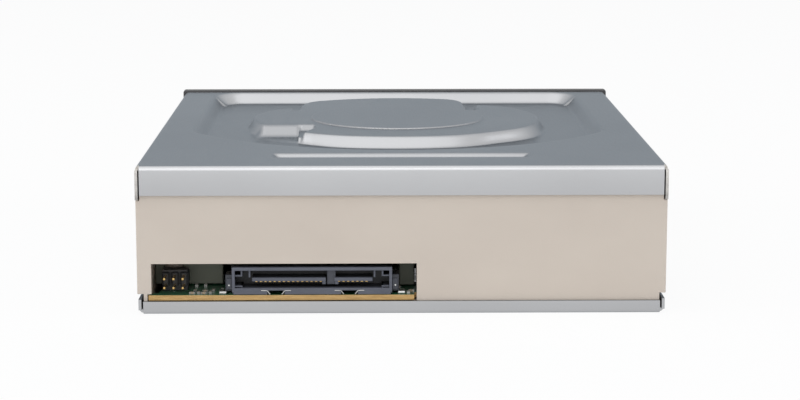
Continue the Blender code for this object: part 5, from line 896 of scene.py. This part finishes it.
# The pressed forms, in millimetres.  u is X, v is Y, w runs forward from the rear edge and r out
# from the spindle; left and right are as seen from the rear.  The plateau's upper edge is given
# by its radius at angles from +X, and a slot by its middle's u and half its width.
spindle_w = 100.5
plateau_edge = [(0, 45.0), (20, 44.8), (31, 47.3), (40, 46.0), (50, 44.0), (90, 42.2), (127, 43.6),
                (150, 45.0), (180, 44.2), (222, 44.3), (300, 44.2), (341, 44.2), (352, 45.1), (360, 45.0)]
shoulder_w_right = 130.5
shoulder_w_left = 122.0
dome_radius = 48.6
dome_right = -21.5
dome_left = 30.6
slot_places = ((-24.6, 2.7), (33.0, 1.9))
slot_rear = 117.5
pan_half = 62.6
pan_front = -79.0
pan_corner = 10.0
pan_rear_radius = 70.8
pan_slope = 5.2
bead_half = 36.8
bead_middle = 65.2
bead_reach = 4.0
bead_slope = 2.8


def plateau_inside(u, w, r):
    """How far a point lies inside the plateau's upper edge, outside its two slots."""
    angle = math.degrees(math.atan2(spindle_w - w, u)) % 360.0
    ring = along_polar(angle, plateau_edge) - r
    shoulder_w = shoulder_w_right if u < 0.0 else shoulder_w_left
    lobes = rounded(ring, (shoulder_w - w) * 0.9, 6.0)
    dome = rounded(dome_radius - r, rounded(u - dome_right, dome_left - u, 5.0), 5.0)
    within = max(lobes, min(dome, w - spindle_w))
    for middle, half in slot_places:
        slot = min(half - abs(u - middle), w - slot_rear)
        if slot >= 0.0:
            within = min(within, -slot)
    return within


def notch_share(u, w):
    """Share of the plateau's rise that its rear notch takes: a ledge behind a wall, then a ramp."""
    wall_u = 25.4 + 3.6 * ease((81.0 - w) / 19.0)
    wall_run = 1.2
    notch_end = 85.4
    beyond = press_step((u - 29.9) / wall_run)
    ledge = 0.50 * press_step((u - wall_u) / wall_run) * press_step((notch_end - w) / 5.0) * (1.0 - beyond)
    ramp_down = 0.92 * beyond * press_step((notch_end - w) / 9.4)
    groove = 0.13 * press_step((0.7 - abs(u - 30.6)) / 0.5) * press_step((84.6 - w) / 2.0)
    taken = max(ledge, ramp_down)
    return max(taken, min(0.9, taken + groove))


def pressed_height(x, y):
    """Height of the lid's outer face above or below its rim; all in metres."""
    u = x * 1000.0
    v = y * 1000.0
    w = 85.0 - v
    r = math.hypot(u, v + 15.5)
    side = pan_half - abs(u)
    front = (v - pan_front) * 0.9
    if side < pan_corner and front < pan_corner:
        edge = pan_corner - math.hypot(pan_corner - side, pan_corner - front)
    else:
        edge = min(side * 1.25, front)
    if v > 0.0:
        edge = min(edge, pan_rear_radius - r)
    sunk = press_step(edge / pan_slope)
    plateau_slope = 3.0 + 1.8 * ease((30.0 - abs(u)) / 14.0) * ease((v + 10.0) / 20.0)
    risen = press_step((plateau_inside(u, w, r) + plateau_slope) / plateau_slope)
    if v > -2.0 and u > 20.0:
        risen *= 1.0 - notch_share(u, w)
    height = -pan_depth * sunk * (1.0 - 0.95 * risen)
    height -= bead_depth * press_step(min(bead_half - abs(u), bead_reach - abs(v - bead_middle)) / bead_slope)
    height += dial_rise * press_step((dial_foot * 1000.0 - r) / 0.22)
    return height


panel_half = half_width - fold_radius
rear_line = rear_y - fold_radius
bm = bmesh.new()
bmesh.ops.create_grid(bm, x_segments=136, y_segments=156, size=0.5)
for vert in bm.verts:
    vert.co = (vert.co.x * 2 * panel_half, front_y + (vert.co.y + 0.5) * (rear_line - front_y), 0.0)


def fine_place(place):
    """Whether a place on the panel is near the dial's pressed edge, the notch's wall or a slot."""
    if 0.0265 < place.x < 0.0322 and 0.0005 < place.y < 0.0400:
        return True
    margin = 0.9
    if -0.0460 < place.y < -0.0310:
        if any(abs(place.x * 1000.0 - middle) < half + margin for middle, half in slot_places):
            return True
    return abs(math.hypot(place.x, place.y - spindle_y) - dial_middle) < 0.0009


def on_slope(place):
    """Whether the sheet slopes or turns at a place, away from the folds."""
    if abs(place.x) > 0.069 or place.y > 0.080 or place.y < -0.0790:
        return False
    probe = 0.0008
    least_rise = 0.00017
    here = pressed_height(place.x, place.y)
    return any(abs(pressed_height(place.x + dx, place.y + dy) - here) > least_rise
               for dx, dy in ((probe, 0.0), (-probe, 0.0), (0.0, probe), (0.0, -probe)))


for needs_more in (on_slope, fine_place):
    faces = [f for f in bm.faces if needs_more(f.calc_center_median())]
    bmesh.ops.subdivide_edges(bm, edges=list({e for f in faces for e in f.edges}), cuts=1, use_grid_fill=True)
# Points near the dial's edge are drawn onto its foot or its top before the sheet is pressed.
for vert in bm.verts:
    offset = Vector((vert.co.x, vert.co.y - spindle_y))
    if abs(offset.length - dial_middle) < 0.00026:
        offset *= (dial_foot if offset.length > dial_middle else dial_top) / offset.length
    vert.co = (offset.x, offset.y + spindle_y, top_z + pressed_height(offset.x, offset.y + spindle_y))


def fold_over(bm, line, centre, axis, angle, steps):
    """Bends the sheet on from a line of edges, about an axis; returns the new line of edges."""
    turn = Matrix.Rotation(angle / steps, 3, axis)
    for step in range(steps):
        points, line = grown(bm, line)
        bmesh.ops.rotate(bm, verts=points, cent=centre, matrix=turn)
    return line


def run_on(bm, line, move):
    """Carries the sheet straight on from a line of edges; returns the new line of edges."""
    points, line = grown(bm, line)
    bmesh.ops.translate(bm, verts=points, vec=move)
    return line


def free_edges(bm, test):
    """Open edges whose both ends pass a test."""
    return [e for e in bm.edges if e.is_boundary and all(test(v.co) for v in e.verts)]


# The three flaps.  The rear one ends in a narrow strip, which shades its rim apart.  A side flap
# starts with one, and its upper part runs on to the rear, past the rear fold's end.
near = 1e-5
fold_steps = 6
seam = 0.0006
upper_run = 0.0075
lower_run = 0.0267
step_z = 0.0319
rear_flap_half = half_width - sheet - 0.0002
rear = free_edges(bm, lambda p: abs(p.y - rear_line) < near and abs(p.x) < rear_flap_half)
rear = fold_over(bm, rear, (0.0, rear_line, top_z - fold_radius), 'X', -math.pi / 2, fold_steps)
rear = run_on(bm, rear, (0.0, 0.0, -0.0065))
run_on(bm, rear, (0.0, 0.0, -0.0004))
for side in (-1, 1):
    hinge = (side * panel_half, 0.0, top_z - fold_radius)
    line = free_edges(bm, lambda p: abs(p.x - side * panel_half) < near and p.y < rear_line - 0.0010)
    line = fold_over(bm, line, hinge, 'Y', side * math.pi / 2, fold_steps)
    for run in (seam, upper_run, lower_run):
        line = run_on(bm, line, (0.0, 0.0, -run))
    last = max(v.co.y for e in line for v in e.verts)
    end = free_edges(bm, lambda p: abs(p.x - side * half_width) < near and abs(p.y - last) < near
                     and p.z > step_z)
    run_on(bm, end, (0.0, rear_y - last, 0.0))


def pierce(bm, side, y, z, radius, corners):
    """Cuts a round fixing hole through a side flap's open sheet."""
    flap = [f for f in bm.faces if abs(f.calc_center_median().x - side * half_width) < near
            and any(abs(v.co.y - y) < 1.6 * radius for v in f.verts)]
    geom = flap + list({e for f in flap for e in f.edges}) + list({v for f in flap for v in f.verts})
    for number in range(corners):
        angle = 2.0 * math.pi * number / corners
        heading = Vector((0.0, math.cos(angle), math.sin(angle)))
        geom = bmesh.ops.bisect_plane(bm, geom=geom, dist=1e-7, plane_no=heading,
                                      plane_co=Vector((0.0, y, z)) + heading * radius)["geom"]
    inside = [f for f in geom if isinstance(f, bmesh.types.BMFace)
              and math.hypot(f.calc_center_median().y - y, f.calc_center_median().z - z) < radius]
    bmesh.ops.delete(bm, geom=inside, context='FACES')


for side in (-1, 1):
    for y in (-0.0327, 0.04655):
        for z in (0.0100, 0.02184):
            pierce(bm, side, y, z, 0.0028, 20)
for edge in bm.edges:
    edge.smooth = not edge.is_boundary
bmesh.ops.recalc_face_normals(bm, faces=bm.faces)
bm.normal_update()
if max(bm.faces, key=lambda f: f.calc_area() * abs(f.normal.z)).normal.z < 0:
    bmesh.ops.reverse_faces(bm, faces=bm.faces)
lid = object_of(bm, "lid", zinc_steel, cut_steel)
lid.data.polygons.foreach_set("use_smooth", [True] * len(lid.data.polygons))
wall = lid.modifiers.new("Wall", 'SOLIDIFY')
wall.thickness = sheet
wall.offset = -1.0
wall.material_offset_rim = 1
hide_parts("top_cover")
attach(lid, "chassis")

# Front bezel and eject button.  Black moulded plastic like the door, with softly rounded edges,
# clipped over the covers' front.  No mark is printed on it.
remade("front_bezel", "bezel", black_plastic, 0.0)
remade("eject_button", "button", black_plastic, 0.00030, body="eject_button")
